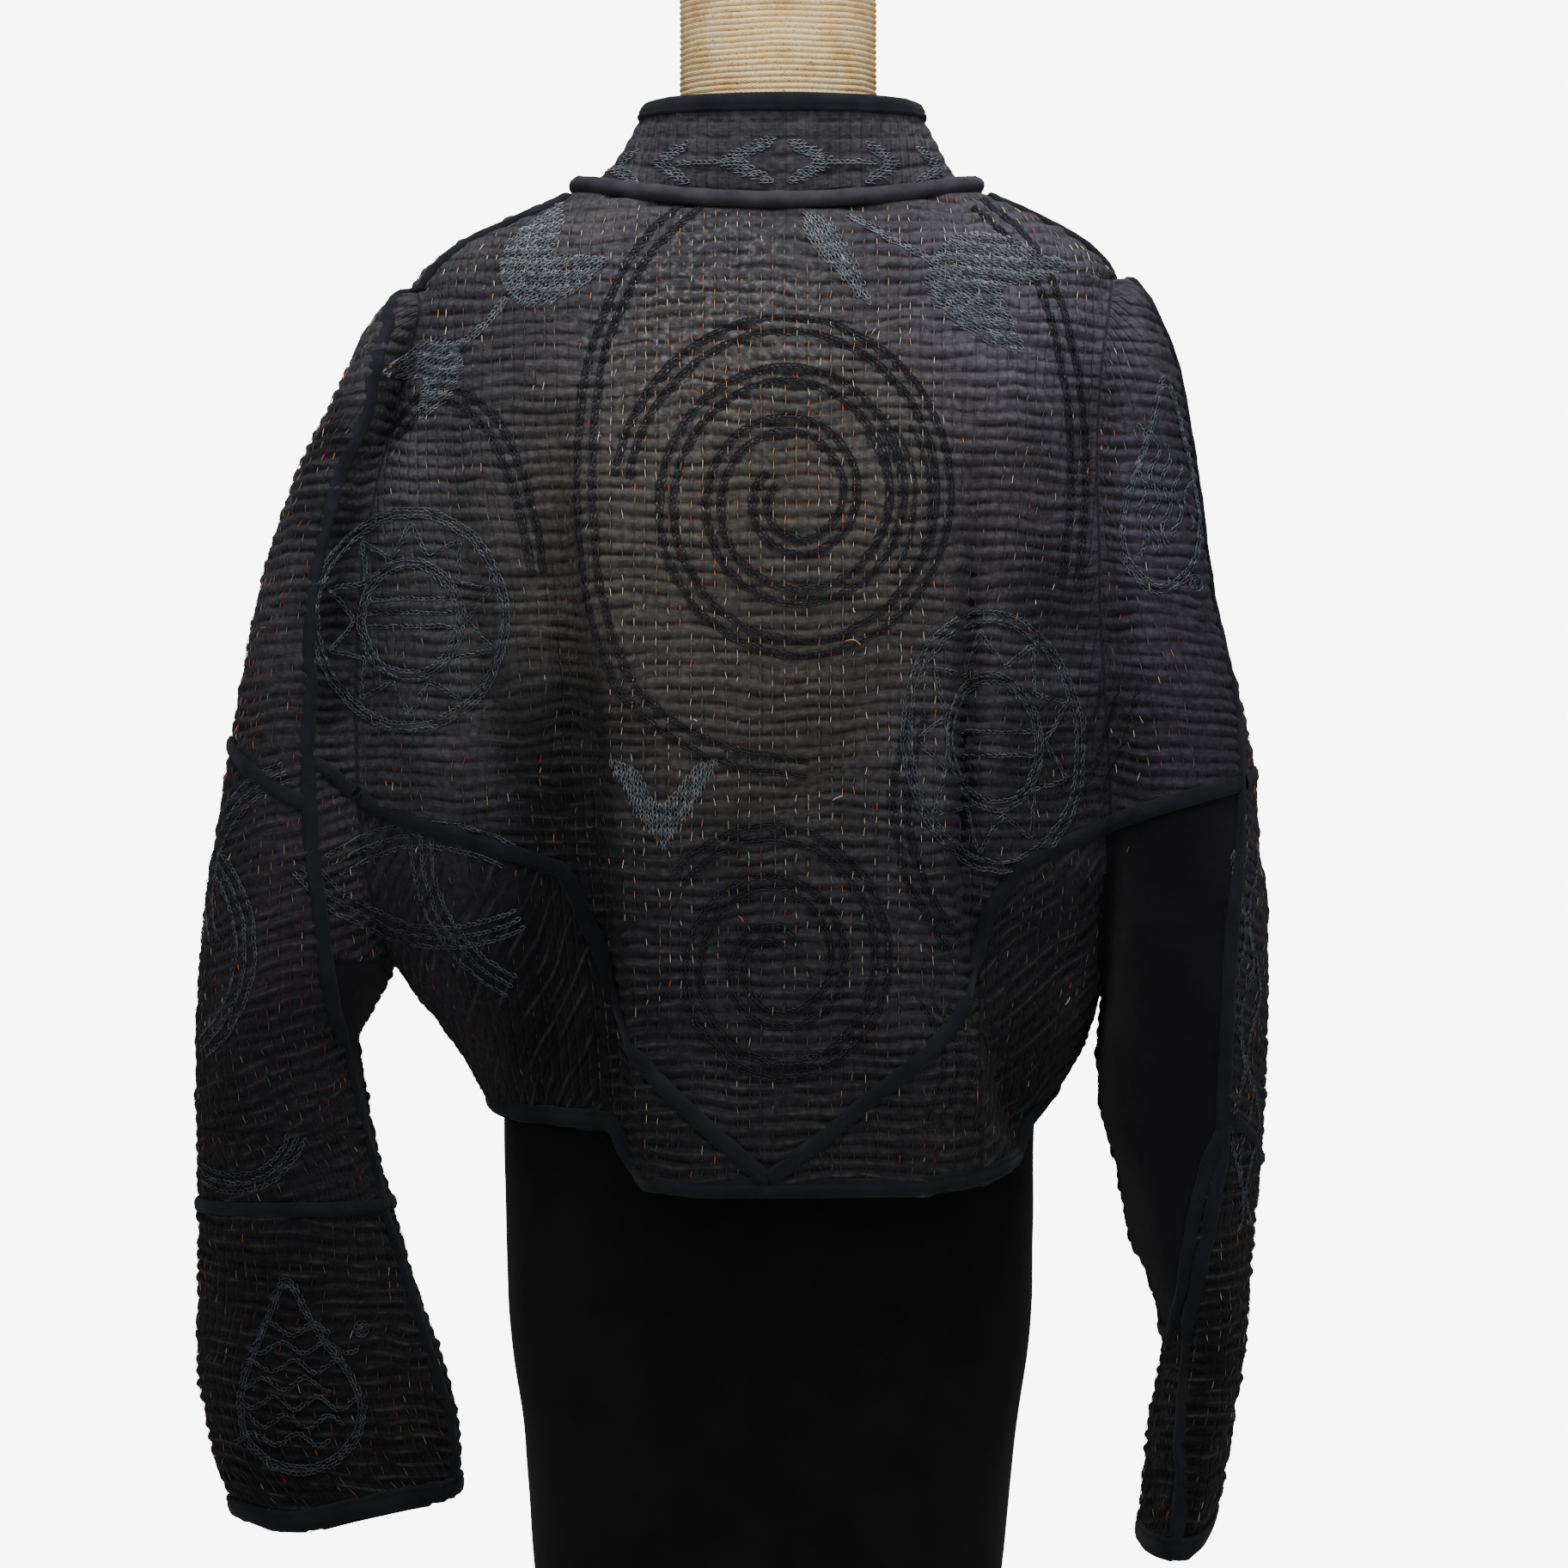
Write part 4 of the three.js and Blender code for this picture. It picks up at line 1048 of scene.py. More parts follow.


# Painted shade, darkest along the troughs beside the middle drape and beside the left overarm seam.
PAINTED_TROUGH_SHADE = [
    ((-0.118, -0.125, 0.62), 0.075, 0.75, (17, 17, 20)), ((-0.125, -0.12, 0.53), 0.08, 0.85, (14, 14, 17)),
    ((-0.118, -0.11, 0.44), 0.085, 0.85, (13, 13, 16)), ((-0.145, -0.10, 0.40), 0.07, 0.8, (13, 13, 16)),
    ((-0.17, -0.11, 0.47), 0.07, 0.6, (15, 15, 18)), ((-0.128, -0.10, 0.50), 0.05, 0.95, (9, 9, 12)),
    ((-0.120, -0.10, 0.57), 0.05, 0.85, (11, 11, 14)), ((-0.132, -0.10, 0.43), 0.055, 0.95, (8, 8, 11)),
    ((-0.128, -0.10, 0.375), 0.05, 0.95, (8, 8, 11)), ((-0.165, -0.10, 0.39), 0.05, 0.9, (9, 9, 12)),
    ((0.165, -0.09, 0.40), 0.05, 0.85, (11, 11, 14)), ((0.19, -0.08, 0.52), 0.05, 0.6, (15, 15, 18)),
    ((0.172, -0.10, 0.70), 0.05, 0.55, (20, 20, 24)), ((0.168, -0.10, 0.61), 0.06, 0.65, (18, 18, 21)),
    ((0.152, -0.09, 0.50), 0.06, 0.7, (16, 16, 19)), ((0.16, -0.09, 0.43), 0.06, 0.75, (14, 14, 17)),
    ((-0.26, -0.09, 0.80), 0.035, 0.8, (16, 16, 20)), ((-0.262, -0.09, 0.75), 0.035, 0.8, (16, 16, 20)),
    ((-0.264, -0.09, 0.70), 0.035, 0.8, (16, 16, 20)), ((-0.264, -0.09, 0.65), 0.035, 0.7, (16, 16, 20)),
]


def quilt_finish():
    nodes = Nodes("quilted_cotton")
    place = nodes.place()
    uv = nodes.place("UV")
    along, rows, _ = nodes.axes(uv)
    patch = nodes.noise(9.0, 5.0, place)
    fine = nodes.noise(260.0, 3.0, place)
    cloth = nodes.ramp(
        patch, (0.3, linear((51, 50, 54))), (0.5, linear((68, 66, 71))), (0.72, linear((84, 82, 86)))
    )
    olive = spot(nodes, place, (-0.02, -0.13, 0.72), 0.22)
    plum = spot(nodes, place, (0.24, -0.08, 0.66), 0.24)
    rose = spot(nodes, place, (-0.28, -0.08, 0.42), 0.26)
    cloth = nodes.mix(nodes.math("MULTIPLY", olive, 0.6), cloth, linear((97, 94, 83)))
    cloth = nodes.mix(nodes.math("MULTIPLY", plum, 0.5), cloth, linear((72, 66, 82)))
    light_plum = spot(nodes, place, (0.15, -0.1, 0.88), 0.11)
    cloth = nodes.mix(nodes.math("MULTIPLY", light_plum, 0.6), cloth, linear((98, 94, 106)))
    cloth = nodes.mix(nodes.math("MULTIPLY", rose, 0.5), cloth, linear((58, 49, 57)))
    _, _, high = nodes.axes(place)
    # Painted shade: the cloth is made darker towards the bottom.
    cloth = painted_shade_below(nodes, place, cloth,
                         ((0.2, 0.055), (0.4, 0.20), (0.5, 0.345), (0.66, 0.55), (0.78, 0.78), (0.93, 1.0)))
    # Painted shade in the troughs beside the middle drape and the left overarm seam.
    cloth = paint_shade_spots(nodes, place, cloth, PAINTED_TROUGH_SHADE)
    # Painted shade lies in the creases between the rows of quilting, unevenly, and the crowns are rubbed.
    row = nodes.math("FRACT", nodes.math("DIVIDE", rows, RIDGE_PITCH * MM))
    from_crease = nodes.math("ABSOLUTE", nodes.math("SUBTRACT", row, 0.5))
    lumpy = nodes.add("ShaderNodeCombineXYZ", {
        0: nodes.math("MULTIPLY", along, 75.0), 1: nodes.math("MULTIPLY", rows, 150.0), 2: high,
    }).outputs[0]
    uneven = nodes.noise(1.0, 3.0, lumpy)
    crease = nodes.math("SUBTRACT", 1.0, nodes.band(from_crease, 0.02, 0.24))
    crease = nodes.math("MULTIPLY", crease, nodes.band(uneven, 0.34, 0.6))
    cloth = nodes.mix(nodes.math("MULTIPLY", crease, 0.62), cloth, linear((14, 14, 17)))
    crown = nodes.math("MULTIPLY", nodes.band(from_crease, 0.3, 0.5), nodes.band(uneven, 0.42, 0.66))
    cloth = nodes.mix(nodes.math("MULTIPLY", crown, 0.16), cloth, linear((104, 101, 102)))
    scuff = nodes.math("MULTIPLY", spot(nodes, place, (-0.04, -0.125, 0.87), 0.10),
                       nodes.band(fine, 0.5, 0.72))
    cloth = nodes.mix(nodes.math("MULTIPLY", scuff, 0.42), cloth, linear((130, 132, 130)))
    speckle = nodes.ramp(fine, (0.42, (0.74, 0.74, 0.74, 1)), (0.62, (1.24, 1.24, 1.24, 1)))
    cloth = nodes.mix(0.8, cloth, nodes.mix(1.0, cloth, speckle, "MULTIPLY"))
    nodes.set(Base_Color=cloth, Roughness=0.94, Sheen_Weight=0.02, Sheen_Roughness=0.6)
    nodes.set(Specular_IOR_Level=0.08)
    threads = weave(nodes, uv)
    puckers = nodes.noise(1.0, 4.0, nodes.add("ShaderNodeCombineXYZ", {
        0: nodes.math("MULTIPLY", along, 190.0), 1: nodes.math("MULTIPLY", rows, 360.0), 2: high,
    }).outputs[0])
    height = nodes.math("ADD", nodes.math("MULTIPLY", threads, 0.12), nodes.math("MULTIPLY", puckers, 2.4))
    height = nodes.math("ADD", height, nodes.math("MULTIPLY", uneven, 1.6))
    column = nodes.math("FRACT", nodes.math("DIVIDE", along, STITCH_SPACING * MM))
    from_stitch = nodes.math("ABSOLUTE", nodes.math("SUBTRACT", column, 0.5))
    height = nodes.math("SUBTRACT", height, nodes.math("MULTIPLY", nodes.band(from_stitch, 0.28, 0.5), 1.5))
    height = nodes.math("SUBTRACT", height, nodes.math("MULTIPLY", crease, 1.1))
    nodes.bump(height, 0.8, 0.0011)
    return nodes.material


def plain_finish():
    nodes = Nodes("plain_black_cotton")
    place, uv = nodes.place(), nodes.place("UV")
    cloth = nodes.ramp(nodes.noise(22.0, 4.0, place), (0.3, linear((9, 9, 12))), (0.7, linear((17, 17, 21))))
    nodes.set(Base_Color=cloth, Roughness=0.96, Sheen_Weight=0.03, Specular_IOR_Level=0.1)
    wrinkle = nodes.noise(75.0, 3.0, place)
    height = nodes.math("ADD", nodes.math("MULTIPLY", weave(nodes, uv), 0.15),
                        nodes.math("MULTIPLY", wrinkle, 2.0))
    nodes.bump(height, 0.5, 0.0012)
    return nodes.material


def tape_finish(name="navy_binding", dark=(20, 22, 27), light=(32, 34, 40)):
    nodes = Nodes(name)
    place, uv = nodes.place(), nodes.place("UV")
    cloth = nodes.ramp(nodes.noise(60.0, 4.0, place), (0.3, linear(dark)), (0.7, linear(light)))
    # Painted shade: darker spots where the tape runs through the troughs beside the drape, and darker lower
    # down.
    cloth = paint_shade_spots(nodes, place, cloth, [
        ((-0.120, -0.10, 0.53), 0.06, 0.9, (9, 10, 13)), ((-0.108, -0.10, 0.47), 0.05, 0.9, (9, 10, 13)),
        ((-0.15, -0.08, 0.37), 0.05, 0.8, (9, 10, 13)),
    ])
    cloth = painted_shade_below(nodes, place, cloth, ((0.2, 0.4), (0.5, 0.6), (0.8, 1.0)))
    nodes.set(Base_Color=cloth, Roughness=0.9, Sheen_Weight=0.03, Specular_IOR_Level=0.12)
    wrinkle = nodes.noise(240.0, 3.0, place)
    height = nodes.math("ADD", nodes.math("MULTIPLY", weave(nodes, uv), 0.2),
                        nodes.math("MULTIPLY", wrinkle, 1.6))
    nodes.bump(height, 0.45, 0.0006)
    return nodes.material


def thread_finish(name, dark, light):
    nodes = Nodes(name)
    place = nodes.place()
    colour = nodes.ramp(nodes.noise(300.0, 2.0, place), (0.3, linear(dark)), (0.7, linear(light)))
    # Painted shade: the threads are made darker lower down.
    colour = painted_shade_below(nodes, place, colour, ((0.25, 0.34), (0.45, 0.5), (0.6, 0.7), (0.8, 1.0)))
    nodes.set(Base_Color=colour, Roughness=0.75, Specular_IOR_Level=0.3)
    nodes.bump(nodes.noise(3500.0, 1.0, place), 0.3, 0.0002)
    return nodes.material


def jersey_finish():
    nodes = Nodes("form_jersey")
    place = nodes.place()
    cloth = nodes.ramp(nodes.noise(30.0, 3.0, place), (0.3, linear((6, 6, 8))), (0.7, linear((11, 11, 13))))
    nodes.set(Base_Color=cloth, Roughness=0.97, Sheen_Weight=0.03, Specular_IOR_Level=0.1)
    nodes.bump(nodes.noise(900.0, 2.0, place), 0.3, 0.0003)
    return nodes.material


def twine_finish():
    nodes = Nodes("twine")
    place = nodes.place()
    x, y, z = nodes.axes(place)
    slant = nodes.math("ADD", x, nodes.math("MULTIPLY", z, 2.6))
    strands = nodes.math("SINE", nodes.math("MULTIPLY", slant, 2200.0))
    tone = nodes.noise(55.0, 5.0, place)
    straw = nodes.ramp(
        tone, (0.25, linear((222, 182, 120))), (0.5, linear((250, 218, 162))), (0.75, linear((255, 238, 194)))
    )
    hairs = nodes.noise(700.0, 2.0, place)
    straw = nodes.mix(nodes.band(hairs, 0.55, 0.75), straw, linear((160, 124, 78)))
    nodes.set(Base_Color=straw, Roughness=0.82, Specular_IOR_Level=0.3)
    nodes.bump(nodes.math("ADD", strands, nodes.math("MULTIPLY", hairs, 1.5)), 0.5, 0.0005)
    return nodes.material


def metal_finish():
    nodes = Nodes("stand_metal")
    place = nodes.place()
    worn = nodes.noise(90.0, 4.0, place)
    colour = nodes.ramp(worn, (0.3, linear((22, 22, 23))), (0.8, linear((34, 34, 36))))
    rough = nodes.math("ADD", nodes.math("MULTIPLY", worn, 0.2), 0.36)
    nodes.set(Base_Color=colour, Roughness=rough, Specular_IOR_Level=0.5)
    nodes.bump(nodes.noise(1400.0, 2.0, place), 0.12, 0.0002)
    return nodes.material


quilt = quilt_finish()
plain = plain_finish()
navy = tape_finish()
jersey = jersey_finish()
straw = twine_finish()
metal = metal_finish()


# ---- Cloth ------------------------------------------------------------------------------------

FLAT_CUTS = {
    "back_panel": (0.95, 0.62), "back_lower_left": (0.30, 0.32), "back_lower_right": (0.30, 0.40),
    "front_left": (0.50, 0.58), "front_right": (0.46, 0.60),
    "front_lower_left": (0.42, 0.32), "front_lower_right": (0.44, 0.42),
    "cuff_left": (0.40, 0.26), "cuff_right": (0.34, 0.26),
}


def plain_part(piece_name, points):
    if piece_name.endswith("right"):
        return points[:, 0] > 196 + 3 * np.sin(points[:, 2] / 17)
    return (points[:, 0] < -232) & (points[:, 2] < 494 + 3 * np.sin(points[:, 0] / 9))


cloth_pieces, cloth_insides = {}, {}
for piece_name, cut in FLAT_CUTS.items():
    outside = joined_parts(outsides[piece_name])
    inside = joined_parts(insides[piece_name])
    thing = make_mesh("cloth_" + piece_name, *outside)
    cloth_pieces[piece_name] = add_piece(thing, quilt, "quilted_cotton", piece_name)
    if piece_name.startswith("back_lower"):
        # Below the V seam the back of each sleeve is plain cloth.
        centres = outside[0][outside[1]].mean(axis=1)
        thing.data.materials.append(plain)
        is_plain = plain_part(piece_name, centres)
        thing.data.polygons.foreach_set("material_index", is_plain.astype(np.int32))
    cloth_insides[piece_name] = add_piece(
        make_mesh("inside_" + piece_name, *inside), plain, "plain_black_cotton"
    )


# ---- Bindings -------------------------------------------------------------------------------------

SEAM_POINTS = []


def seam_tape(name, path, width=10.0, seed=1, height=2.5, wrinkle=0.55, nodes=()):
    SEAM_POINTS.append(path)
    thing, points = tape(name, path, width, height, wrinkle, seed, navy)
    return add_piece(thing, navy, "navy_binding", *nodes)


def edge_tape(name, path, outs, ups, width, seed, closed, nodes):
    """A strip folded over an edge: up its outside, round the edge and up the inside."""
    profile = [
        (0.4, width + 0.4), (2.4, width - 0.2), (3.1, width - 1.8), (2.7, width - 2.9), (3.4, width * 0.55),
        (3.4, 2.4), (3.1, 0.0), (1.6, -2.0), (-0.8, -2.5), (-3.0, -1.6), (-4.1, 0.6), (-4.2, width * 0.5),
        (-3.8, width - 1.6), (-2.9, width - 0.4),
    ]
    field = waves(seed, 14, 34, 7)
    loop = np.concatenate([path, path[:1]]) if closed else path
    lengths = np.concatenate([[0], np.cumsum(np.linalg.norm(np.diff(loop, axis=0), axis=1))])
    count = len(path)
    ring = np.empty((count, len(profile), 3))
    for k, (out, up) in enumerate(profile):
        ripple = 0.5 * field(lengths[:count], up * 1.2 + k)
        ring[:, k] = path + outs * (out + np.sign(out) * ripple)[:, None] + ups * up
    rows = count + 1 if closed else count
    j, i = np.meshgrid(np.arange(rows - 1), np.arange(len(profile)), indexing="ij")
    here, below = j * len(profile) + i, ((j + 1) % count) * len(profile) + i
    turn = (i + 1) % len(profile) - i
    faces = np.stack([here, below, below + turn, here + turn], axis=-1).reshape(-1, 4)
    flat = ring.reshape(-1, 3)
    uv = np.stack([np.repeat(lengths[:count], len(profile)), np.tile(np.arange(len(profile)) * 2.0, count)],
                  axis=1)
    thing = make_mesh(name, flat, faces, uv)
    turn_out(thing)
    return add_piece(thing, navy, "navy_binding", *nodes)


def unit(vectors):
    return vectors / np.maximum(np.linalg.norm(vectors, axis=-1, keepdims=True), 1e-9)


# The back's V seam.
left_x, right_x = -275.0, 277.0
path = laid_path([(x, z, -1) for x, z in clip_line(BACK_V, left_x, right_x)])
half = int(np.argmin(np.abs(path[:, 0] + 3)))
seam_tape("v_tape_back_left", path[: half + 1], seed=11, nodes=["v_binding_back_left"])
seam_tape("v_tape_back_right", path[half:], seed=12, nodes=["v_binding_back_right"])

# The fronts' V seams go round the sleeves' outer sides.
for side, word in ((-1, "left"), (1, "right")):
    start = OPENING["x"] + side * 23.0
    turn_x, turn_z = sleeve_turn(side, FRONT_V, "outer")
    xs = np.arange(start, turn_x, side * 3.0)
    places = [(x, float(line_z(FRONT_V, x)), 1) for x in xs]
    seam_x = float(line_x(OVERARM[side], turn_z - 30))
    back_xs = np.arange(turn_x - side * 1.0, seam_x, -side * 3.0)
    places += [(x, float(line_z(FRONT_V, x)), -1) for x in back_xs]
    seam_tape("v_tape_front_" + word, laid_path(places), seed=13 + side, nodes=["v_binding_front_" + word])

# The shoulder and overarm seams, from the collar to the cuff.
for side, word in ((-1, "left"), (1, "right")):
    back = surface["back"]["smooth"]
    edge_rows = np.arange(4, starts[side] - 2, 3)
    # From the collar to the sleeve the tape lies a little behind the top of the shoulder.
    order = slice(None) if side < 0 else slice(None, None, -1)
    shoulder = []
    for k, row in enumerate(edge_rows):
        line_row = back[row][order][:60]
        inward = (10.0 if side < 0 else 4.5) * float(smooth_step(k / 4 + 0.5))
        shoulder.append([np.interp(inward, np.abs(line_row[:, 0] - line_row[0, 0]),
                                   line_row[:, axis]) for axis in range(3)])
    shoulder = np.array(shoulder)
    points = [tuple(point) for point in shoulder]
    line = OVERARM[side]
    for z in np.arange(min(888.0, shoulder[-1][2] - 4), CUFF[side][0][1] - 40, -3.0):
        x = float(line_x(line, z))
        edge, middle = outer_edge(side, z)
        if z < float(line_z(CUFF[side], x)) + 8:
            break
        if side * (edge - x) > 0.5:
            point, _ = on_cloth(x, z, -1)
        else:
            point, _ = np.array([edge, middle, z]), None
        points.append(tuple(point))
    path = relax(even_line(np.array(points), 2.4), 6)
    seam_tape("overarm_tape_" + word, path, seed=21 + side, nodes=["overarm_binding_" + word])

# The ring seams of the forearms.
for side, word in ((-1, "left"), (1, "right")):
    line = FOREARM[side]
    outer_x, _ = sleeve_turn(side, line, "outer")
    inner_x, _ = sleeve_turn(side, line, "inner")
    xs = np.linspace(inner_x, outer_x, 40)
    places = [(x, float(line_z(line, x)), -1) for x in xs[1:-1]]
    places += [(x, float(line_z(line, x)), 1) for x in xs[::-1][1:-1]]
    places.append(places[0])
    seam_tape("forearm_tape_" + word, laid_path(places, rounds=4), width=8.5, seed=31 + side,
              nodes=["forearm_binding_" + word])

# The cuffs' edges.
for side, word in ((-1, "left"), (1, "right")):
    grid = surface[side]["smooth"]
    edge = line_z(CUFF[side], grid[..., 0])
    points, ups = [], []
    for column in range(grid.shape[1] - 1):
        row = int(np.argmax(grid[:, column, 2] <= edge[:, column] + 1e-3))
        points.append(grid[row - 1, column])
        ups.append(grid[row - 8, column] - grid[row - 1, column])
    points, ups = np.array(points), unit(np.array(ups))
    ahead = unit(np.roll(points, -1, axis=0) - np.roll(points, 1, axis=0))
    outs = unit(np.cross(ahead, ups))
    if (outs * (points - points.mean(axis=0))).sum() < 0:
        outs = -outs
    edge_tape("cuff_tape_" + word, points, outs, ups, 11.0, 41 + side, True, ["cuff_binding_" + word])


def bottom_edge(name, line):
    """The points where a body grid's columns reach the hem line, with the ways up and out."""
    grid = surface[name]["smooth"]
    edge = line_z(line, grid[..., 0])
    points, ups, outs = [], [], []
    for column in range(grid.shape[1]):
        row = int(np.argmax(grid[:, column, 2] <= edge[:, column] + 1e-3))
        points.append(grid[row - 1, column])
        ups.append((0.0, 0.0, 1.0))
        outs.append(surface[name]["normals"][row - 4, column])
    return np.array(points), np.array(ups), np.array(outs)


back_edge = bottom_edge("back", BACK_HEM)
front_edge = bottom_edge("front", FRONT_HEM)
keep = np.abs(front_edge[0][:, 0] - OPENING["x"]) > half_opening(front_edge[0][:, 2]) + 1
right_part, left_part = (
    np.nonzero(keep & (front_edge[0][:, 0] > 0))[0], np.nonzero(keep & (front_edge[0][:, 0] < 0))[0]
)
whole = [
    np.concatenate([front_edge[k][left_part], back_edge[k], front_edge[k][right_part]]) for k in range(3)
]
path = even_line(np.concatenate(whole, axis=1), 3.0)
points = relax(path[:, :3], 2)
ahead = unit(np.gradient(points, axis=0))
ups = unit(path[:, 3:6] - ahead * (path[:, 3:6] * ahead).sum(axis=1, keepdims=True) * 0.8)
outs = unit(relax(path[:, 6:9], 6))
outs = unit(outs - ups * (outs * ups).sum(axis=1, keepdims=True))
edge_tape("hem_tape", points, outs, ups, 9.0, 51, False, ["hem_binding"])

# The two front edges.
for side, word in ((-1, "left"), (1, "right")):
    points, outs = [], []
    for z in np.arange(934.0, 398.0, -4.0):
        x = OPENING["x"] + side * float(half_opening(z))
        point, normal = on_cloth(x, z, 1)
        points.append(point)
        outs.append(normal)
    path = even_line(np.concatenate([np.array(points), np.array(outs)], axis=1), 3.0)
    points, outs = relax(path[:, :3], 3), unit(relax(path[:, 3:], 5))
    ahead = unit(np.gradient(points, axis=0))
    ups = unit(np.cross(outs, ahead))
    ups *= np.sign((ups[:, 0] * side).sum())
    edge_tape("front_edge_tape_" + word, points, outs, ups, 9.0, 61 + side, False,
              ["front_edge_binding_" + word])


# ---- The collar -------------------------------------------------------------------------------------

COLLAR_ROUND = 2.1
COLLAR_GAP = (-5.0, 9.0)
COLLAR_RIM, COLLAR_FOOT = 1006, 957
COLLAR_ROW_PITCH, COLLAR_TUCK_PITCH = 8.2, 7.5
COLLAR_CUT = (0.56, 0.075)
pucker = waves(71, 16, 30, 8)


def collar_points(z_values, angles):
    """Points of the collar at each height and angle, from one front edge round the back to the other."""
    z = np.repeat(np.asarray(z_values, float)[:, None], len(angles), axis=1)
    left, right = COLLAR.at("left", z), COLLAR.at("right", z)
    across = -np.sign(np.cos(angles)) * np.abs(np.cos(angles)) ** (2 / COLLAR_ROUND)
    deep = np.sign(np.sin(angles)) * np.abs(np.sin(angles)) ** (2 / COLLAR_ROUND)
    reach = np.where(deep >= 0, COLLAR.at("back", z), COLLAR.at("front", z))
    drop = np.where(deep >= 0, COLLAR.at("drop_back", z), COLLAR.at("drop_front", z))
    x = (left + right) / 2 + (right - left) / 2 * across
    return np.stack([x, -reach * deep, z - drop * deep**2], axis=2)


# Angle 0 is at the left, 90 degrees at the back, 180 at the right and 270 in front.
collar_angles = np.linspace(-0.5 * math.pi + 0.07, 1.5 * math.pi - 0.07, 420)
collar_z = np.linspace(COLLAR_RIM, COLLAR_FOOT, 56)
collar_grid = collar_points(collar_z, collar_angles)
collar_normals = normals_of(collar_grid)
if collar_normals[28, 210, 1] > 0:
    collar_normals = -collar_normals
collar_arc = arc_coordinate(collar_grid[:, 60:-60], "collar")
collar_arc = np.concatenate([collar_arc[:, :1] - np.arange(60, 0, -1) * 1.5, collar_arc,
                             collar_arc[:, -1:] + np.arange(1, 61) * 1.5], axis=1)
inside_gap = (collar_grid[..., 0] > COLLAR_GAP[0]) & (collar_grid[..., 0] < COLLAR_GAP[1])
inside_gap = inside_gap & (collar_grid[..., 1] > 0)
collar_ripple = 0.9 * pucker(collar_arc * 1.0, collar_z[:, None] * 0.35)
collar_level = collar_z[:, None] + 1.2 * stitch_drift(collar_arc, collar_z[:, None])
collar_row = 0.5 + 0.5 * np.cos(2 * np.pi * collar_level / COLLAR_ROW_PITCH)
tuck_place = collar_arc + 1.5 * wander(collar_arc, collar_z[:, None])
tuck = 0.5 + 0.5 * np.cos(2 * np.pi * tuck_place / COLLAR_TUCK_PITCH)
collar_ripple = collar_ripple + 0.75 * collar_row**0.7 + 0.5 * tuck
collar_surface = collar_grid + collar_normals * (collar_ripple - 0.2)[..., None]
collar_inner = collar_grid - collar_normals * 2.6
flat_outside, flat_inside = collar_surface.reshape(-1, 3), collar_inner[::5, ::4].reshape(-1, 3)
faces = grid_faces(*collar_grid.shape[:2])
inner_faces = grid_faces(*collar_inner[::5, ::4].shape[:2])
hidden = inside_gap.reshape(-1)
faces = faces[~hidden[faces].any(axis=1)]
hidden_inside = inside_gap[::5, ::4].reshape(-1)
inner_faces = inner_faces[~hidden_inside[inner_faces].any(axis=1)]
if faces_point_out(collar_surface, collar_normals, faces):
    faces = faces[:, ::-1]
else:
    inner_faces = inner_faces[:, ::-1]
collar_uv = np.stack([collar_arc, np.repeat(collar_z[:, None], len(collar_angles), axis=1)], axis=-1)
faces_of_collar = faces
cloth_pieces["collar_stand"] = add_piece(
    make_mesh("cloth_collar", flat_outside, faces, collar_uv.reshape(-1, 2)), quilt, "quilted_cotton",
    "collar_stand"
)
cloth_insides["collar_stand"] = add_piece(
    make_mesh("inside_collar", flat_inside, inner_faces, collar_uv[::5, ::4].reshape(-1, 2)),
    plain, "plain_black_cotton",
)

open_columns = np.nonzero(~inside_gap[0])[0][::2]
rim, rim_out = collar_grid[0, open_columns], collar_normals[0, open_columns]
rim_up = unit(collar_grid[0, open_columns] - collar_grid[8, open_columns])
# The rim's tape is folded over from outside to inside, so its way up the cloth is down.
edge_tape("collar_tape", rim, unit(rim_out), -rim_up, 9.0, 72, False, ["collar_binding"])

foot_columns = np.nonzero(~inside_gap[-1])[0][::2]
foot, foot_out = collar_grid[-1, foot_columns], collar_normals[-1, foot_columns].copy()
foot_out[:, 2] = 0
foot_out = unit(foot_out)
roll_lengths = np.concatenate([[0], np.cumsum(np.linalg.norm(np.diff(foot, axis=0), axis=1))])
turns = np.linspace(0, 2 * math.pi, 14, endpoint=False)
roll_field = waves(73, 14, 26, 7)
roll = np.empty((len(foot), len(turns), 3))
for k, turn in enumerate(turns):
    radius = 5.4 + 0.55 * roll_field(roll_lengths, k * 4.0)
    at_side = np.clip(np.abs(foot_out[:, 0]) * 1.25 - 0.25, 0, 1)
    out = 6.0 - 4.5 * at_side + radius * math.cos(turn)
    roll[:, k] = foot + foot_out * out[:, None]
    roll[:, k, 2] += 4.2 - 2.4 * at_side + radius * math.sin(turn)
ends = [roll[0].mean(axis=0), roll[-1].mean(axis=0)]
shrink = np.array([0.2, 0.7, 0.93])
start_rings = [ends[0] + (roll[0] - ends[0]) * share for share in shrink]
end_rings = [ends[1] + (roll[-1] - ends[1]) * share for share in shrink[::-1]]
ahead0 = unit(foot[0] - foot[3])
ahead1 = unit(foot[-1] - foot[-4])
start_rings = [ring + ahead0 * reach for ring, reach in zip(start_rings, (4.4, 3.6, 2.0))]
end_rings = [ring + ahead1 * reach for ring, reach in zip(end_rings, (2.0, 3.6, 4.4))]
roll = np.concatenate([start_rings, roll, end_rings])
roll_faces = grid_faces(len(roll), len(turns), closed=True)
roll_uv = np.stack(
    [np.repeat(np.arange(len(roll)) * 2.2, len(turns)), np.tile(np.arange(len(turns)) * 2.4, len(roll))],
    axis=1
)
roll_thing = make_mesh("collar_roll", roll.reshape(-1, 3), roll_faces, roll_uv)
turn_out(roll_thing)
add_piece(roll_thing, tape_finish("rolled_piping", (46, 44, 50), (66, 64, 71)), "navy_binding",
          "collar_piping")


# ---- The dress form ---------------------------------------------------------------------------------

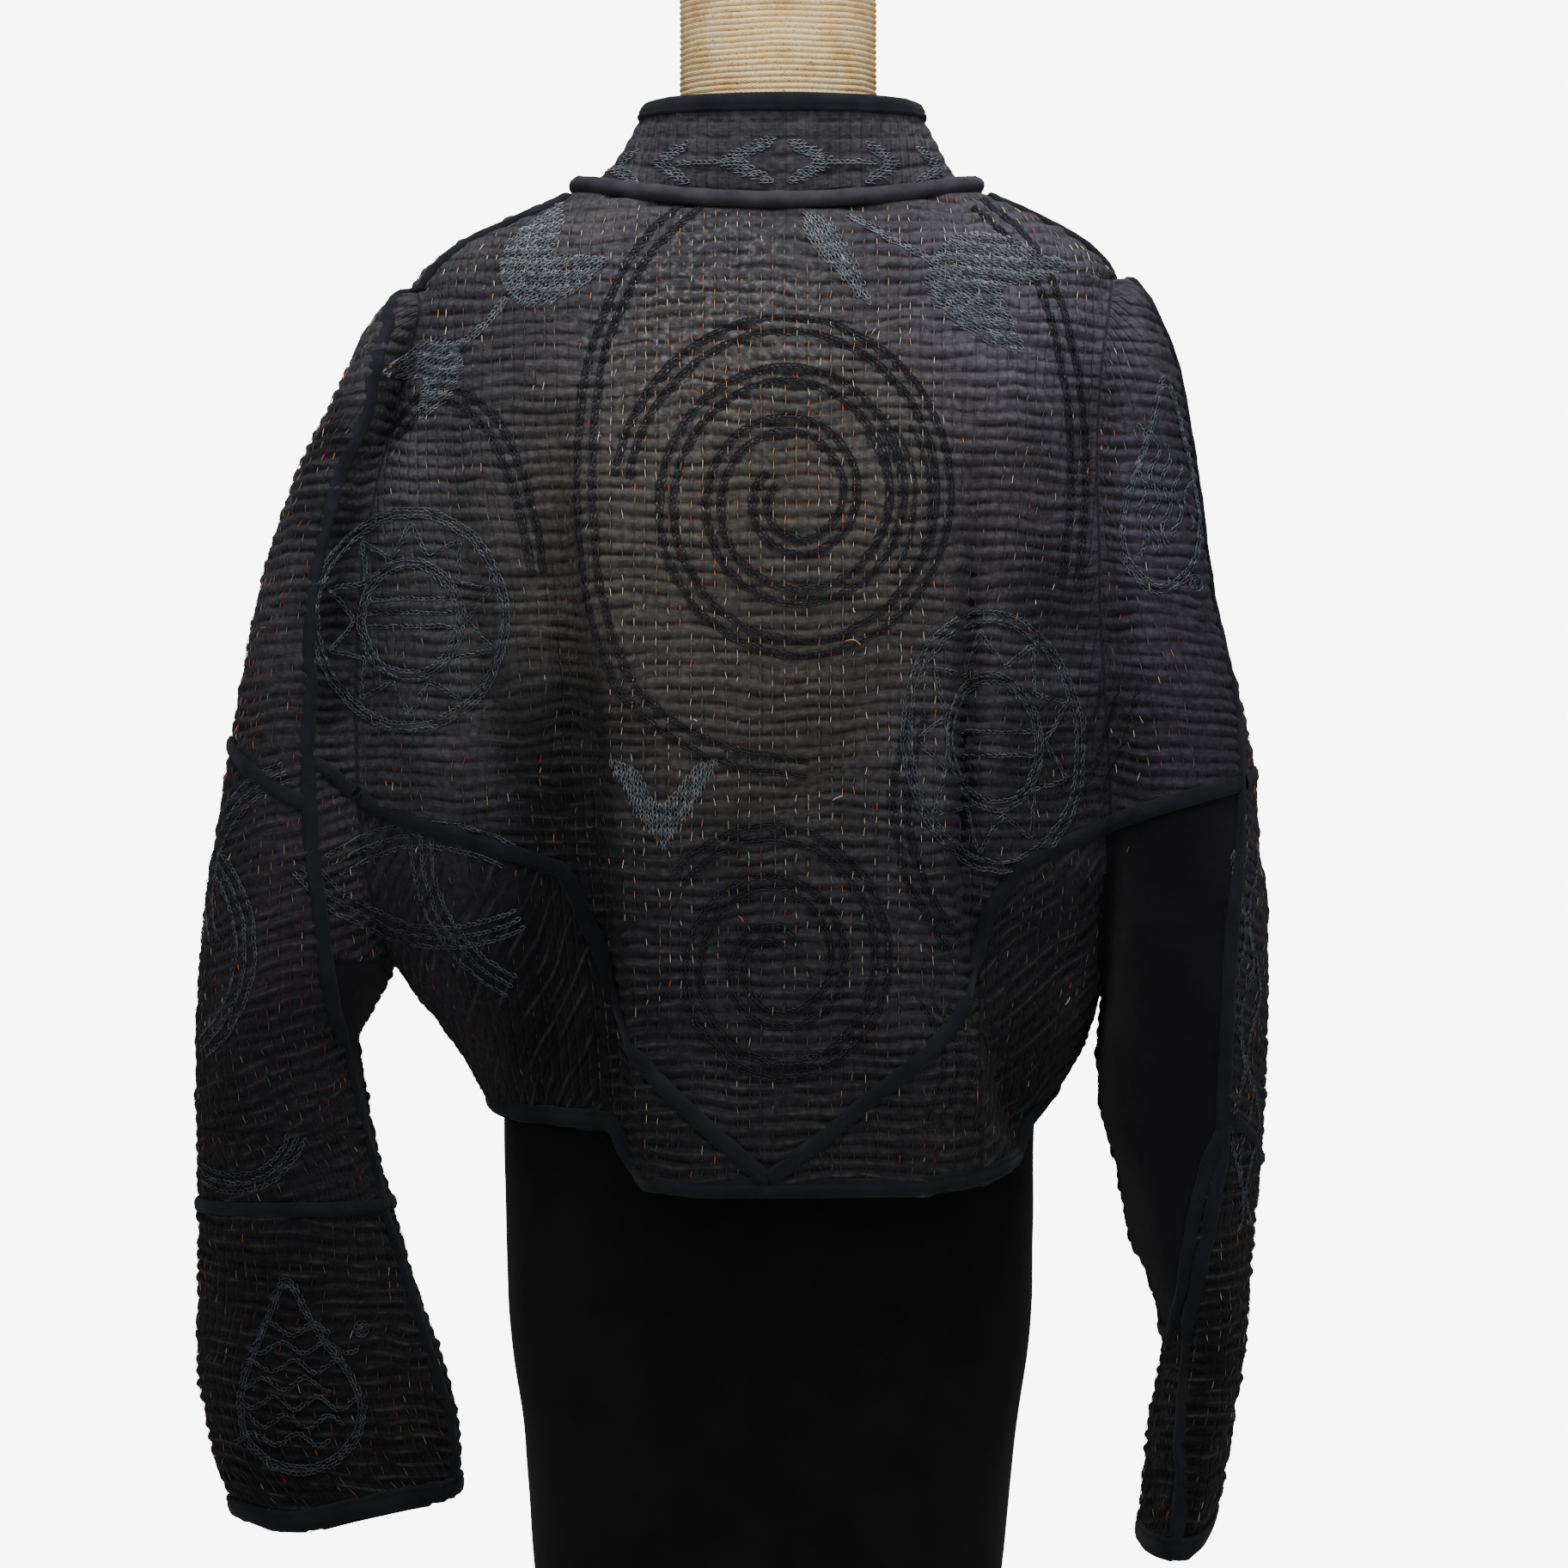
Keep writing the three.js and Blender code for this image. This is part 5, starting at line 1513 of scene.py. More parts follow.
FORM_ROUND = 2.2
form_z = np.concatenate([np.linspace(968, 900, 18), np.linspace(896, 95, 84)])
form_angles = np.linspace(0, 2 * math.pi, 96, endpoint=False)
level = np.repeat(form_z[:, None], len(form_angles), axis=1)
across = -np.sign(np.cos(form_angles)) * np.abs(np.cos(form_angles)) ** (2 / FORM_ROUND)
deep = np.sign(np.sin(form_angles)) * np.abs(np.sin(form_angles)) ** (2 / FORM_ROUND)
left, right = FORM.at("left", level), FORM.at("right", level)
reach = np.where(deep >= 0, FORM.at("back", level), FORM.at("front", level))
drop = np.where(deep >= 0, BODY.at("drop_back", level), BODY.at("drop_front", level)) * deep**2
form_points = np.stack([(left + right) / 2 + (right - left) / 2 * across, -reach * deep, level - drop],
                       axis=2)
form_normals = normals_of(form_points)
wave = waves(81, 10, 130, 40)
sag = 0.5 * wave(form_points[..., 0] + form_points[..., 1] * 0.7, level)
low_folds = smooth_step((150 - level) / 60) * 0.8 * np.sin(form_angles * 9 + level * 0.05)
inward = np.sign((form_normals * (form_points * [1, 1, 0])).sum(axis=2))[..., None] * form_normals
room = -1.2 - 2.4 * smooth_step((level - 850) / 40)
form_points = form_points + inward * (sag + low_folds + room)[..., None]
rings, count = form_points.shape[:2]
foot_ring = [
    form_points[-1] * [s, s, 1] + [0, 0, fall] for s, fall in ((0.97, -1.5), (0.9, -2.2), (0.3, -2.4))
]
top_ring = [form_points[0] * [s, s, 0] + [0, 0, high] for s, high in ((0.4, 967.0), (0.93, 965.0))]
form_rings = np.concatenate([top_ring, form_points, foot_ring])
form_faces = grid_faces(len(form_rings), count, closed=True)
flat = form_rings.reshape(-1, 3)
form_thing = make_mesh("form_cover", flat, form_faces, flat[:, [0, 2]])
turn_out(form_thing)
add_piece(form_thing, jersey, "form_jersey", "form_torso")

# The neck is wound with twine from its foot to its top.
NECK_RADIUS, NECK_X, NECK_FOOT, NECK_TOP = 58.2, 3.0, 969.5, 1087.5
TWINE_PITCH, TWINE_RADIUS = 3.6, 1.95
winds = (NECK_TOP - NECK_FOOT - 2 * TWINE_RADIUS) / TWINE_PITCH
steps = int(winds * 72)
turn = np.linspace(0, winds * 2 * math.pi, steps)
twine_wave = waves(91, 12, 60, 12)
height = NECK_FOOT + TWINE_RADIUS + TWINE_PITCH * turn / (2 * math.pi)
twine_wander = 0.4 * twine_wave(np.cos(turn) * 60, height + np.sin(turn) * 60)
radius = NECK_RADIUS - 0.4 + 0.25 * twine_wave(np.sin(turn) * 60, height * 2)
centre = np.stack([NECK_X + radius * np.cos(turn), radius * np.sin(turn), height + twine_wander], axis=1)
out = np.stack([np.cos(turn), np.sin(turn), np.zeros_like(turn)], axis=1)
sides = np.linspace(0, 2 * math.pi, 6, endpoint=False)
strand = np.stack(
    [centre + TWINE_RADIUS * (math.cos(a) * out + math.sin(a) * np.array([0, 0, 1.0])) for a in sides], axis=1
)
twine_faces = grid_faces(steps, len(sides), closed=True)
twine_uv = np.stack(
    [np.repeat(turn * NECK_RADIUS, len(sides)), np.tile(sides * TWINE_RADIUS, steps)], axis=1
)
twine_thing = make_mesh("neck_twine", strand.reshape(-1, 3), twine_faces, twine_uv)
turn_out(twine_thing)


def turned(name, profile, centre_x, count=72):
    """A closed form turned from (radius, height) points, from the bottom middle to the top middle."""
    angles = np.linspace(0, 2 * math.pi, count, endpoint=False)
    rings = np.array([
        [(centre_x + radius * math.cos(a), radius * math.sin(a), z) for a in angles] for radius, z in profile
    ])
    thing = make_mesh(name, rings.reshape(-1, 3), grid_faces(len(profile), count, closed=True),
                      rings.reshape(-1, 3)[:, [0, 2]])
    turn_out(thing)
    return thing


core = turned("neck_core", [(0.5, NECK_FOOT), (56.5, NECK_FOOT), (56.5, 1087.8), (0.5, 1087.8)], NECK_X)
add_piece(core, straw, "twine", "form_neck")
add_piece(twine_thing, straw, "twine", "form_neck")
cap_profile = [(0.5, 1088.3), (57.4, 1088.3), (58.0, 1089.2), (58.0, 1092.0), (57.0, 1094.0), (54.0, 1096.2),
               (48.0, 1097.6), (30.0, 1098.6), (12.0, 1099.1), (0.5, 1099.2)]
add_piece(turned("neck_cap_cover", cap_profile, NECK_X), jersey, "form_jersey", "neck_cap")
base_profile = [(0.5, 0.0), (167.5, 0.0), (169.4, 0.8), (170.0, 2.2), (170.0, 12.2), (169.2, 14.4),
                (166.6, 16.8),
                (163.0, 17.9), (60.0, 18.0), (0.5, 18.0)]
add_piece(turned("stand_foot", base_profile, 0.0, 120), metal, "stand_metal", "stand_base")
pole_profile = [(0.5, 18.3), (29.0, 18.3), (30.0, 19.0), (30.0, 21.8), (28.6, 22.8), (20.0, 26.5),
                (14.6, 30.2),
                (14.0, 32.0), (14.0, 86.0), (14.6, 88.6), (33.4, 88.8), (34.0, 89.6), (34.0, 94.2),
                (0.5, 94.6)]
add_piece(turned("stand_tube", pole_profile, 0.0, 64), metal, "stand_metal", "stand_pole")


# ---- Running stitches -------------------------------------------------------------------------------

THREADS = {
    "dyed": ((52, 50, 52), (92, 88, 86)),
    "faded": ((100, 96, 92), (146, 138, 130)),
    "cream": ((196, 184, 166), (238, 226, 206)),
    "orange": ((186, 118, 76), (232, 158, 106)),
    "pink": ((138, 62, 72), (190, 92, 98)),
}
thread_materials = [thread_finish("thread_" + name, *tones) for name, tones in THREADS.items()]


def prisms(name, starts_at, middles, ends_at, outs, radius, materials, choice, sides=3):
    """Many short threads in one mesh, each through three points."""
    ahead = unit(ends_at - starts_at)
    across = unit(np.cross(ahead, outs))
    rings = []
    for centre, share in ((starts_at, 0.62), (middles, 1.0), (ends_at, 0.62)):
        for k in range(sides):
            angle = 2 * math.pi * k / sides + math.pi / 2
            rings.append(centre + radius * share * (math.cos(angle) * across + math.sin(angle) * outs))
    points = np.stack(rings, axis=1).reshape(-1, 3)
    base = np.arange(len(starts_at))[:, None, None] * 3 * sides
    k = np.arange(sides)
    turn = (k + 1) % sides
    one = np.stack([k, turn, turn + sides, k + sides], axis=-1)
    faces = (base + np.concatenate([one, one + sides])[None]).reshape(-1, 4)
    thing = make_mesh(name, points, faces)
    for material in materials:
        thing.data.materials.append(material)
    if len(materials) > 1:
        thing.data.polygons.foreach_set("material_index", np.repeat(choice, 2 * sides).astype(np.int32))
    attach(thing, "root")
    return thing


def column_of(data, target):
    """The column, with its fraction, where each row is a distance along."""
    columns = np.arange(data["arc"].shape[1], dtype=float)
    return np.array([np.interp(place, row, columns) for place, row in zip(target, data["arc"])])


def pick_column(values, column):
    low = np.clip(np.floor(column).astype(int), 0, values.shape[1] - 2)
    share = column - low
    rows = np.arange(len(values))
    if values.ndim == 3:
        share = share[:, None]
    return values[rows, low] * (1 - share) + values[rows, low + 1] * share


seam_tree = None


GRID_NUMBERS = {"back": 0, "front": 1, -1: 2, 1: 3}


def stitch_places(name):
    data = surface[name]
    random = np.random.default_rng(101 + GRID_NUMBERS[name])
    rows_total, columns_total = data["arc"].shape
    found = []
    lowest = int(np.floor(data["arc"].min() / STITCH_SPACING))
    highest = int(np.ceil(data["arc"].max() / STITCH_SPACING))
    for s in range(lowest, highest + 1):
        middle_z = data["smooth"][:, data["arc"].shape[1] // 2, 2]
        target = s * STITCH_SPACING + 1.3 * stitch_drift(s * 40.0 + 900, middle_z)
        column = column_of(data, target)
        real = (column > 1.2) & (column < columns_total - 2.2)
        if real.sum() < 8:
            continue
        points = pick_column(data["points"], column)
        normals = pick_column(data["normals"], column)
        phase = pick_column(data["phase"], column)
        level = np.floor(phase + 0.5)
        crossing = np.nonzero((level[1:] != level[:-1]) & real[1:] & real[:-1])[0]
        for row in crossing:
            if random.random() < 0.1:
                continue
            half = random.uniform(2.8, 5.4) / 2 / ROW_STEP
            centre = row + 0.5 + random.uniform(-0.7, 0.7)
            low, high = centre - half, centre + half
            if low < 1 or high > rows_total - 2 or not (real[int(low)] and real[int(high) + 1]):
                continue
            ends_of = []
            for place in (low, centre, high):
                j = int(place)
                ends_of.append(points[j] * (1 - place + j) + points[j + 1] * (place - j))
            found.append((*ends_of[0], *ends_of[1], *ends_of[2], *normals[int(centre)]))
    return np.array(found), random


def sew(name):
    found, random = stitch_places(name)
    a, m, b, outs = found[:, 0:3], found[:, 3:6], found[:, 6:9], unit(found[:, 9:12])
    stitch_lengths = np.linalg.norm(b - a, axis=1)
    keep = (quilted(name, m) > 0.5) & (stitch_lengths < 9) & (stitch_lengths > 1.5)
    edges = {"back": BACK_HEM, "front": FRONT_HEM, -1: CUFF[-1], 1: CUFF[1]}[name]
    keep &= m[:, 2] > line_z(edges, m[:, 0]) + 9
    if name == "front":
        keep &= np.abs(m[:, 0] - OPENING["x"]) > half_opening(m[:, 2]) + 9
    keep &= (name in (-1, 1)) | (b[:, 2] < 953)
    distance = np.array([seam_tree.find(Vector(point))[2] for point in m])
    keep &= distance > 6.0
    keep &= random.random(len(m)) > np.where(np.abs(m[:, 0]) < 130, 0.12, 0.28)
    if name == "back":
        keep &= (np.abs(outs[:, 1]) > 0.55) | (m[:, 2] > 860)
    if name in (-1, 1):
        off = name * (line_x(OVERARM[name], m[:, 2]) - m[:, 0])
        keep &= ~((off > -4) & (off < 27) & (m[:, 1] < 0) & (m[:, 2] > 590) & (m[:, 2] < 884))
    a, m, b, outs = a[keep], m[keep], b[keep], outs[keep]
    jitter = random.uniform(-0.45, 0.45, (len(a), 1)) * unit(np.cross(b - a, outs))
    chord = (a + b) / 2
    a, b = a + outs * 0.1 - jitter, b + outs * 0.1 + jitter
    above = np.maximum((chord - m) * outs, 0).sum(axis=1, keepdims=True)
    middle = m + outs * (above * 0.75 + 0.3)
    x, z = m[:, 0], m[:, 2]
    warm = np.exp(-(((x + 10) / 66) ** 2 + ((z - 812) / 110) ** 2))
    rosy = np.exp(-(((x + 290) / 60) ** 2 + ((z - 640) / 150) ** 2))
    rosy = rosy + np.exp(-(((x + 280) / 60) ** 2 + ((z - 200) / 60) ** 2))
    rosy += 0.5 * np.exp(-(((x - 236) / 40) ** 2 + ((z - 640) / 120) ** 2))
    # Where pale threads are used: partly the threads' own layout, partly painted shade, with fewer pale
    # threads lower down and in the troughs.
    pale_share_with_shade = smooth_step((116 - np.abs(x + 2)) / 26) * smooth_step((z - 360) / 260)
    pale_share_with_shade = pale_share_with_shade + smooth_step((z - 850) / 60)
    if name in ("back", "front"):
        pale_share_with_shade = np.clip(pale_share_with_shade + 0.35 * drape(x * 2, z * 2), 0.06, 1)
    else:
        pale_share_with_shade = 0.16 + 0 * x
    # Painted shade: in the troughs beside the drape and on the lower back the stitches mostly take the dark
    # dyed thread.
    if name == "back":
        pale_share_with_shade[(z < line_z(BACK_V, x)) & (x < -110)] = 0.02
        pale_share_with_shade[(z < line_z(BACK_V, x)) & (x > 130)] = 0.1
        drape_trough_shade = (np.abs(x + 118) < 22) & (z < 790) | (np.abs(x - 118) < 12) & (z < 770)
        pale_share_with_shade[drape_trough_shade] = 0.02
    draw, second = random.random(len(a)), random.random(len(a))
    choice = np.where(draw < 0.52 * pale_share_with_shade, 2, np.where(draw < 0.3 + 0.7 * pale_share_with_shade, 1, 0))
    choice = np.where((draw < 0.3 + 0.7 * pale_share_with_shade) & (second < 0.1 + 0.72 * warm), 3, choice)
    choice = np.where((choice > 0) & (second > 0.95 - 0.5 * np.clip(rosy, 0, 1)), 4, choice)
    choice = np.where((choice == 0) & (second > 0.985 - 0.16 * np.clip(rosy, 0, 1)), 4, choice)
    label = {"back": "back", "front": "front", -1: "left_sleeve", 1: "right_sleeve"}[name]
    return prisms("stitches_" + label, a, middle, b, outs, 0.29, thread_materials, choice)


# ---- Chain stitch ----------------------------------------------------------------------------------------

black_yarn = thread_finish("yarn_black", (10, 10, 14), (50, 51, 60))
grey_yarn = thread_finish("yarn_grey", (66, 72, 78), (140, 148, 154))
slate_yarn = thread_finish("yarn_slate", (44, 48, 54), (106, 113, 120))
ridge_tree = None
collar_tree = None


def cast_line(line, on, way=-1):
    """Points and outward directions on the cloth under a flat (x, z) line."""
    points, outs = [], []
    for x, z in line:
        hit, normal, _, _ = on.ray_cast(Vector((x, way * 400, z)), Vector((0, -way, 0)), 800)
        if hit is None:
            points.append((np.nan,) * 3)
            outs.append((np.nan,) * 3)
            continue
        points.append(tuple(hit))
        outs.append(tuple(normal if normal.y * way > 0 else -normal))
    points, outs = np.array(points), np.array(outs)
    real = ~np.isnan(points[:, 0])
    return points[real], outs[real]


links = {"black": [], "grey": [], "slate": []}
hand = waves(12, 14, 34, 9)


def chain(line, colour, pitch=3.1, width=2.1, on=None, way=-1, lift=0.35):
    """A row of chain stitch along a flat (x, z) line."""
    line = even_line(np.asarray(line, float), pitch)
    line = line + 0.8 * np.stack([hand(line[:, 0], line[:, 1]), hand(line[:, 1] + 300, line[:, 0])], axis=1)
    points, outs = cast_line(line, on or ridge_tree, way)
    if len(points) < 3:
        return
    steps = np.diff(points, axis=0)
    ahead = unit(steps)
    outs = unit(outs[:-1] + outs[1:])
    short = np.linalg.norm(steps, axis=1) < 3 * pitch
    side = unit(np.cross(outs, ahead))
    jolt = np.mod(np.sin(np.arange(len(steps)) * 12.9898 + line[0, 0]) * 43758.5453, 1.0)[:, None]
    base = points[:-1] + side * (jolt - 0.5) * 0.9
    width = width * (0.8 + 0.7 * jolt)
    for sign in (-1, 1):
        tail = base + side * (sign * width * 0.42) + outs * lift
        head = base + steps * 1.12 + side * (sign * width * 0.08) + outs * (lift + 0.1)
        bow = (tail + head) / 2 + side * (sign * width * 0.16) + outs * 0.42
        links[colour].append((tail[short], bow[short], head[short], outs[short]))


def beside(line, distance):
    line = np.asarray(line, float)
    ahead = unit(np.gradient(line, axis=0))
    return line + distance * np.stack([-ahead[:, 1], ahead[:, 0]], axis=1)


def rows_of(line, colour, count, gap=2.5, **more):
    for k in range(count):
        chain(beside(line, (k - (count - 1) / 2) * gap), colour, **more)


def set_down(x, z, u, v, tilt):
    """Points drawn at u, v, turned by tilt and set down at x, z."""
    cos, sin = math.cos(tilt), math.sin(tilt)
    return np.stack([x + u * cos - v * sin, z + u * sin + v * cos], axis=1)


def spiral(x, z, first, last, turns, start, squash=1.0):
    t = np.linspace(0, 1, 200)
    radius = first + (last - first) * t
    angle = start + turns * 2 * math.pi * t
    return np.stack([x + radius * np.cos(angle), z + squash * radius * np.sin(angle)], axis=1)


def bend(*points):
    return smooth_line(np.array(points, float), 2.0)


def arc_line(x, z, radius, start, end):
    t = np.linspace(start, end, 60)
    return np.stack([x + radius * np.cos(t), z + radius * np.sin(t)], axis=1)


def ring_line(x, z, across, tall, tilt=0.0):
    t = np.linspace(0, 2 * math.pi, 90)
    u, v = across * np.cos(t), tall * np.sin(t)
    return set_down(x, z, u, v, tilt)


def filled(outline, tilt, gap=2.3, on=None, colour="grey"):
    """An outline (x, z) filled with rows of chain stitch that run along one direction."""
    cos, sin = math.cos(tilt), math.sin(tilt)
    turned_points = np.array([(x * cos + z * sin, -x * sin + z * cos) for x, z in outline])
    u0, v0 = turned_points.T
    u1, v1 = np.roll(u0, -1), np.roll(v0, -1)
    for v in np.arange(v0.min() + gap / 2, v0.max(), gap):
        crossing = (v0 > v) != (v1 > v)
        places = np.sort((u0 + (v - v0) / np.where(v1 == v0, 1, v1 - v0) * (u1 - u0))[crossing])
        for start, end in zip(places[::2], places[1::2]):
            if end - start > 4:
                line = np.array([(start + 0.6, v), (end - 0.6, v)])
                chain(line @ np.array([[cos, sin], [-sin, cos]]), colour, width=2.1, pitch=3.0, on=on)


def shaped(points, x, z, size, tilt, squash=1.0):
    """A closed curve through points drawn along +u, turned by tilt and set at (x, z)."""
    loop = smooth_line(np.array(list(points) + [points[0]], float), 0.05)
    u, v = loop.T * np.array([[size], [size * squash]])
    return set_down(x, z, u, v, tilt)


# A bud with two tips, a slim leaf, and an arrowhead, each about one unit long from its stalk at the origin.
BUD = [(0, 0), (0.1, 0.27), (0.38, 0.44), (0.72, 0.46), (1.0, 0.5), (0.82, 0.24), (0.62, 0.06), (0.8, -0.12),
       (1.0, -0.3), (0.66, -0.38), (0.3, -0.34), (0.07, -0.2)]
SLIM = [(0, 0), (0.12, 0.1), (0.4, 0.12), (0.75, 0.07), (1.0, 0), (0.75, -0.05), (0.4, -0.1), (0.12, -0.09)]
HEAD = [(0, 0), (0.42, 0.3), (0.95, 0.56), (0.86, 0.3), (0.5, 0.02), (0.86, -0.3), (0.95, -0.56),
        (0.42, -0.3)]


def leaf(shape, x, z, size, tilt, on=None, gap=2.3, squash=1.0):
    filled(shaped(shape, x, z, size, tilt, squash), tilt, gap, on)


def zigzag(x, z, inner, outer, teeth, squash=1.0):
    angle = np.linspace(0, 2 * math.pi, 2 * teeth + 1)
    radius = np.where(np.arange(2 * teeth + 1) % 2 == 0, inner, outer)
    return even_line(np.stack([x + radius * np.cos(angle), z + squash * radius * np.sin(angle)], axis=1), 2.0)


def paisley(x, z, length, width, tilt, flip=1):
    """The outline of a paisley drop with its tip bent over."""
    t = np.linspace(0, 2 * math.pi, 120)
    along = -np.cos(t) * 0.5
    across = 0.5 * np.sin(t) * (1 - 0.82 * smooth_step(along + 0.5)) ** 0.8
    bend_over = flip * 0.55 * np.maximum(along, -0.1) ** 2
    u, v = along * length, (across + bend_over * 0.5) * width
    return set_down(x, z, u, v, tilt)


def pair(line, apart, colour="black"):
    """Two lines side by side, each two rows of chain stitch wide."""
    for shift in (-apart / 2, apart / 2):
        rows_of(beside(line, shift), colour, 2, gap=2.2)


def dark_work():
    """The dark rows, that show by their relief: two spirals and the long lines that feed them."""
    middle = (12, 764)
    pair(spiral(*middle, 16, 101, 3.1, 2.4, 1.08), 8.5)
    for k in range(4):
        t = np.linspace(-0.62, 0.72 - 0.06 * k, 40)
        radius = 52 + 8.2 * k
        chain(np.stack([middle[0] + 3 + radius * np.cos(t), middle[1] + radius * 1.1 * np.sin(t)], axis=1),
              "black")
    pair(bend((-44, 944), (-78, 908), (-103, 850), (-110, 780), (-104, 706), (-82, 650), (-34, 616),
              (20, 606)), 9)
    pair(spiral(2, 492, 12, 72, 2.3, 0.6, 1.12), 8)
    pair(bend((122, 944), (152, 912), (172, 860), (181, 790), (176, 716)), 9)
    pair(bend((-226, 806), (-198, 828), (-168, 812), (-148, 770), (-138, 720)), 8)
    pair(bend((86, 640), (74, 590), (84, 540), (108, 500)), 8)
    for k in range(4):
        chain(bend((84 + k * 9, 474 - k * 3), (100 + k * 9, 440), (88 + k * 10, 396)), "black")
    for k in range(3):
        chain(bend((196 + k * 10, 655), (182 + k * 12, 618), (168 + k * 13, 590)), "black")


def grey_work():
    # Buds and leaves on stems below the collar.
    rows_of(bend((-192, 852), (-170, 868), (-158, 884)), "grey", 2, gap=2.2)
    leaf(BUD, -158, 886, 62, 0.62)
    leaf(BUD, -186, 856, 46, 3.78)
    leaf(SLIM, 18, 936, 72, -0.98, gap=2.1)
    rows_of(bend((44, 934), (64, 922), (92, 906)), "grey", 2, gap=2.2)
    leaf(BUD, 92, 908, 76, -0.5)
    # An arrowhead at the middle drape's edge.
    leaf(HEAD, -64, 558, 56, 1.57)
    # Ringed medallions: double rings, spokes and a zigzag.
    for radius in (28, 31.5, 55, 58.5):
        chain(ring_line(-214, 694, radius, radius * 1.12), "slate")
    rows_of(zigzag(-214, 694, 34, 52, 10, 1.12), "slate", 1)
    for k in range(3):
        chain([(-240, 690 + k * 8), (-186, 690 + k * 8)], "slate")
    for radius in (25, 28.5, 50, 54):
        chain(ring_line(130, 622, radius, radius * 1.42, 0.1), "slate")
    rows_of(zigzag(130, 622, 31, 47, 9, 1.42), "slate", 1)
    for k in range(2):
        chain([(104, 614 + k * 14), (156, 614 + k * 14)], "slate")
    # A tall paisley with wavy filling on the right sleeve, and a dot.
    for shrink in (1.0, 0.93):
        chain(paisley(232, 774, 128 * shrink, 62 * shrink, 1.5), "slate")
    for k in range(5):
        zs = np.arange(728 + 5 * k, 812 - 6 * k, 2.0)
        chain(np.stack([218 + k * 7 + 3 * np.sin(zs / 4.5 + k), zs], axis=1), "slate")
    rows_of(ring_line(250, 716, 2.6, 3.4), "slate", 2)
    # A wide paisley with squiggles on the left cuff, and a dot.
    for shrink in (1.0, 0.94):
        chain(paisley(-286, 244, 116 * shrink, 96 * shrink, 1.75, -1), "slate")
    for k in range(7):
        xs = np.arange(-322 + 2 * k, -262 + (k % 3) * 8, 2.0)
        chain(np.stack([xs, 206 + k * 11 + 4 * np.sin(xs / 4.2 + k * 1.7)], axis=1), "slate")
    rows_of(ring_line(-246, 272, 2.6, 3.0), "slate", 2)
    # Crossing arcs on the outside of the left sleeve, and over the left underarm.
    for k in range(3):
        chain(arc_line(-262, 530, 84 - 6 * k, 1.9, 3.5), "slate")
        chain(arc_line(-390, 500, 84 - 6 * k, -0.9, 0.75), "slate")
        chain(arc_line(-322, 400, 46 - 5 * k, 3.4, 6.0), "slate")
        chain(arc_line(-204, 470, 104 - 7 * k, 1.05, 2.2), "slate")
        chain(arc_line(-196, 606, 106 - 6 * k, 3.75, 5.2), "slate")
        chain(arc_line(-118, 560, 96 - 6 * k, 3.1, 4.3), "slate")
    # Waves down the outside of the right sleeve.
    for k in range(3):
        zs = np.arange(330, 560, 2.0)
        chain(np.stack([276 + k * 5 + 4 * np.sin(zs / 13 + k * 1.3), zs], axis=1), "slate")


def collar_motifs():
    arrows = [(-102, -1, 24, 1.05), (-73, -1, 25, 1.05), (-35, -1, 38, 0.72), (39, 1, 32, 0.85),
              (78, 1, 25, 1.05),
              (107, 1, 24, 1.05)]
    for x, way, size, squash in arrows:
        leaf(HEAD, x, 967, size, 0.0 if way < 0 else math.pi, on=collar_tree, gap=2.1, squash=squash)
    for start, end in ((-58, -33), (37, 62)):
        rows_of([(start, 967), (end, 967)], "grey", 1, on=collar_tree)


def embroider():
    dark_work()
    grey_work()
    collar_motifs()
    for colour, material in (("black", black_yarn), ("grey", grey_yarn), ("slate", slate_yarn)):
        a, m, b, outs = (np.concatenate([group[k] for group in links[colour]]) for k in range(4))
        prisms("embroidery_" + colour, a, m, b, outs, 0.5, [material], None)


seam_paths = np.concatenate(SEAM_POINTS)
seam_tree = KDTree(len(seam_paths))
for index, point in enumerate(seam_paths):
    seam_tree.insert(point, index)
seam_tree.balance()
for stitch_grid in ("back", "front", -1, 1):
    sew(stitch_grid)
ridge_tree = cloth_tree(["back", -1, 1], "points", step=1, least_area=1e-3)
collar_tree = BVHTree.FromPolygons(flat_outside.tolist(), faces_of_collar.tolist())
embroider()


# ---- Loose thread ends ---------------------------------------------------------------------------------

def strand(points, radius, sides=4):
    """Vertices and faces of a thin round thread along points."""
    ahead = unit(np.gradient(points, axis=0))
    helper = np.where(np.abs(ahead[:, 2:]) > 0.9, [[1.0, 0, 0]], [[0, 0, 1.0]])
    side = unit(np.cross(ahead, helper))
    up = np.cross(side, ahead)
    angles = np.linspace(0, 2 * math.pi, sides, endpoint=False)
    ring = np.stack([points + radius * (math.cos(a) * side + math.sin(a) * up) for a in angles], axis=1)
    return ring.reshape(-1, 3), grid_faces(len(points), sides, closed=True)


def loose_threads(name, roots, material, radius, seed):
    """Curled ends of thread that stand off the cloth: a root, a way up and a length for each."""
    random = np.random.default_rng(seed)
    points, faces, offset = [], [], 0
    for root, out, length in roots:
        t = np.linspace(0, 1, 9)[:, None]
        sag = np.array([random.uniform(-1, 1), 0.0, random.uniform(-1.0, 0.2)])
        curl = random.uniform(0.6, 1.6) * math.pi
        spread = np.array([random.uniform(-1, 1), 0.0, random.uniform(-1, 1)])
        way = np.asarray(out) * 0.35 + sag
        line = np.asarray(root) + length * (t * way * 0.7 + 0.22 * np.sin(curl * t) * spread)
        line += np.asarray(out) * (0.6 + 1.6 * np.sin(math.pi * t))
        flat, index = strand(line, radius)
        points.append(flat)
        faces.append(index + offset)
        offset += len(flat)
    return add_piece(make_mesh(name, np.concatenate(points), np.concatenate(faces)), material,
                     "quilted_cotton")


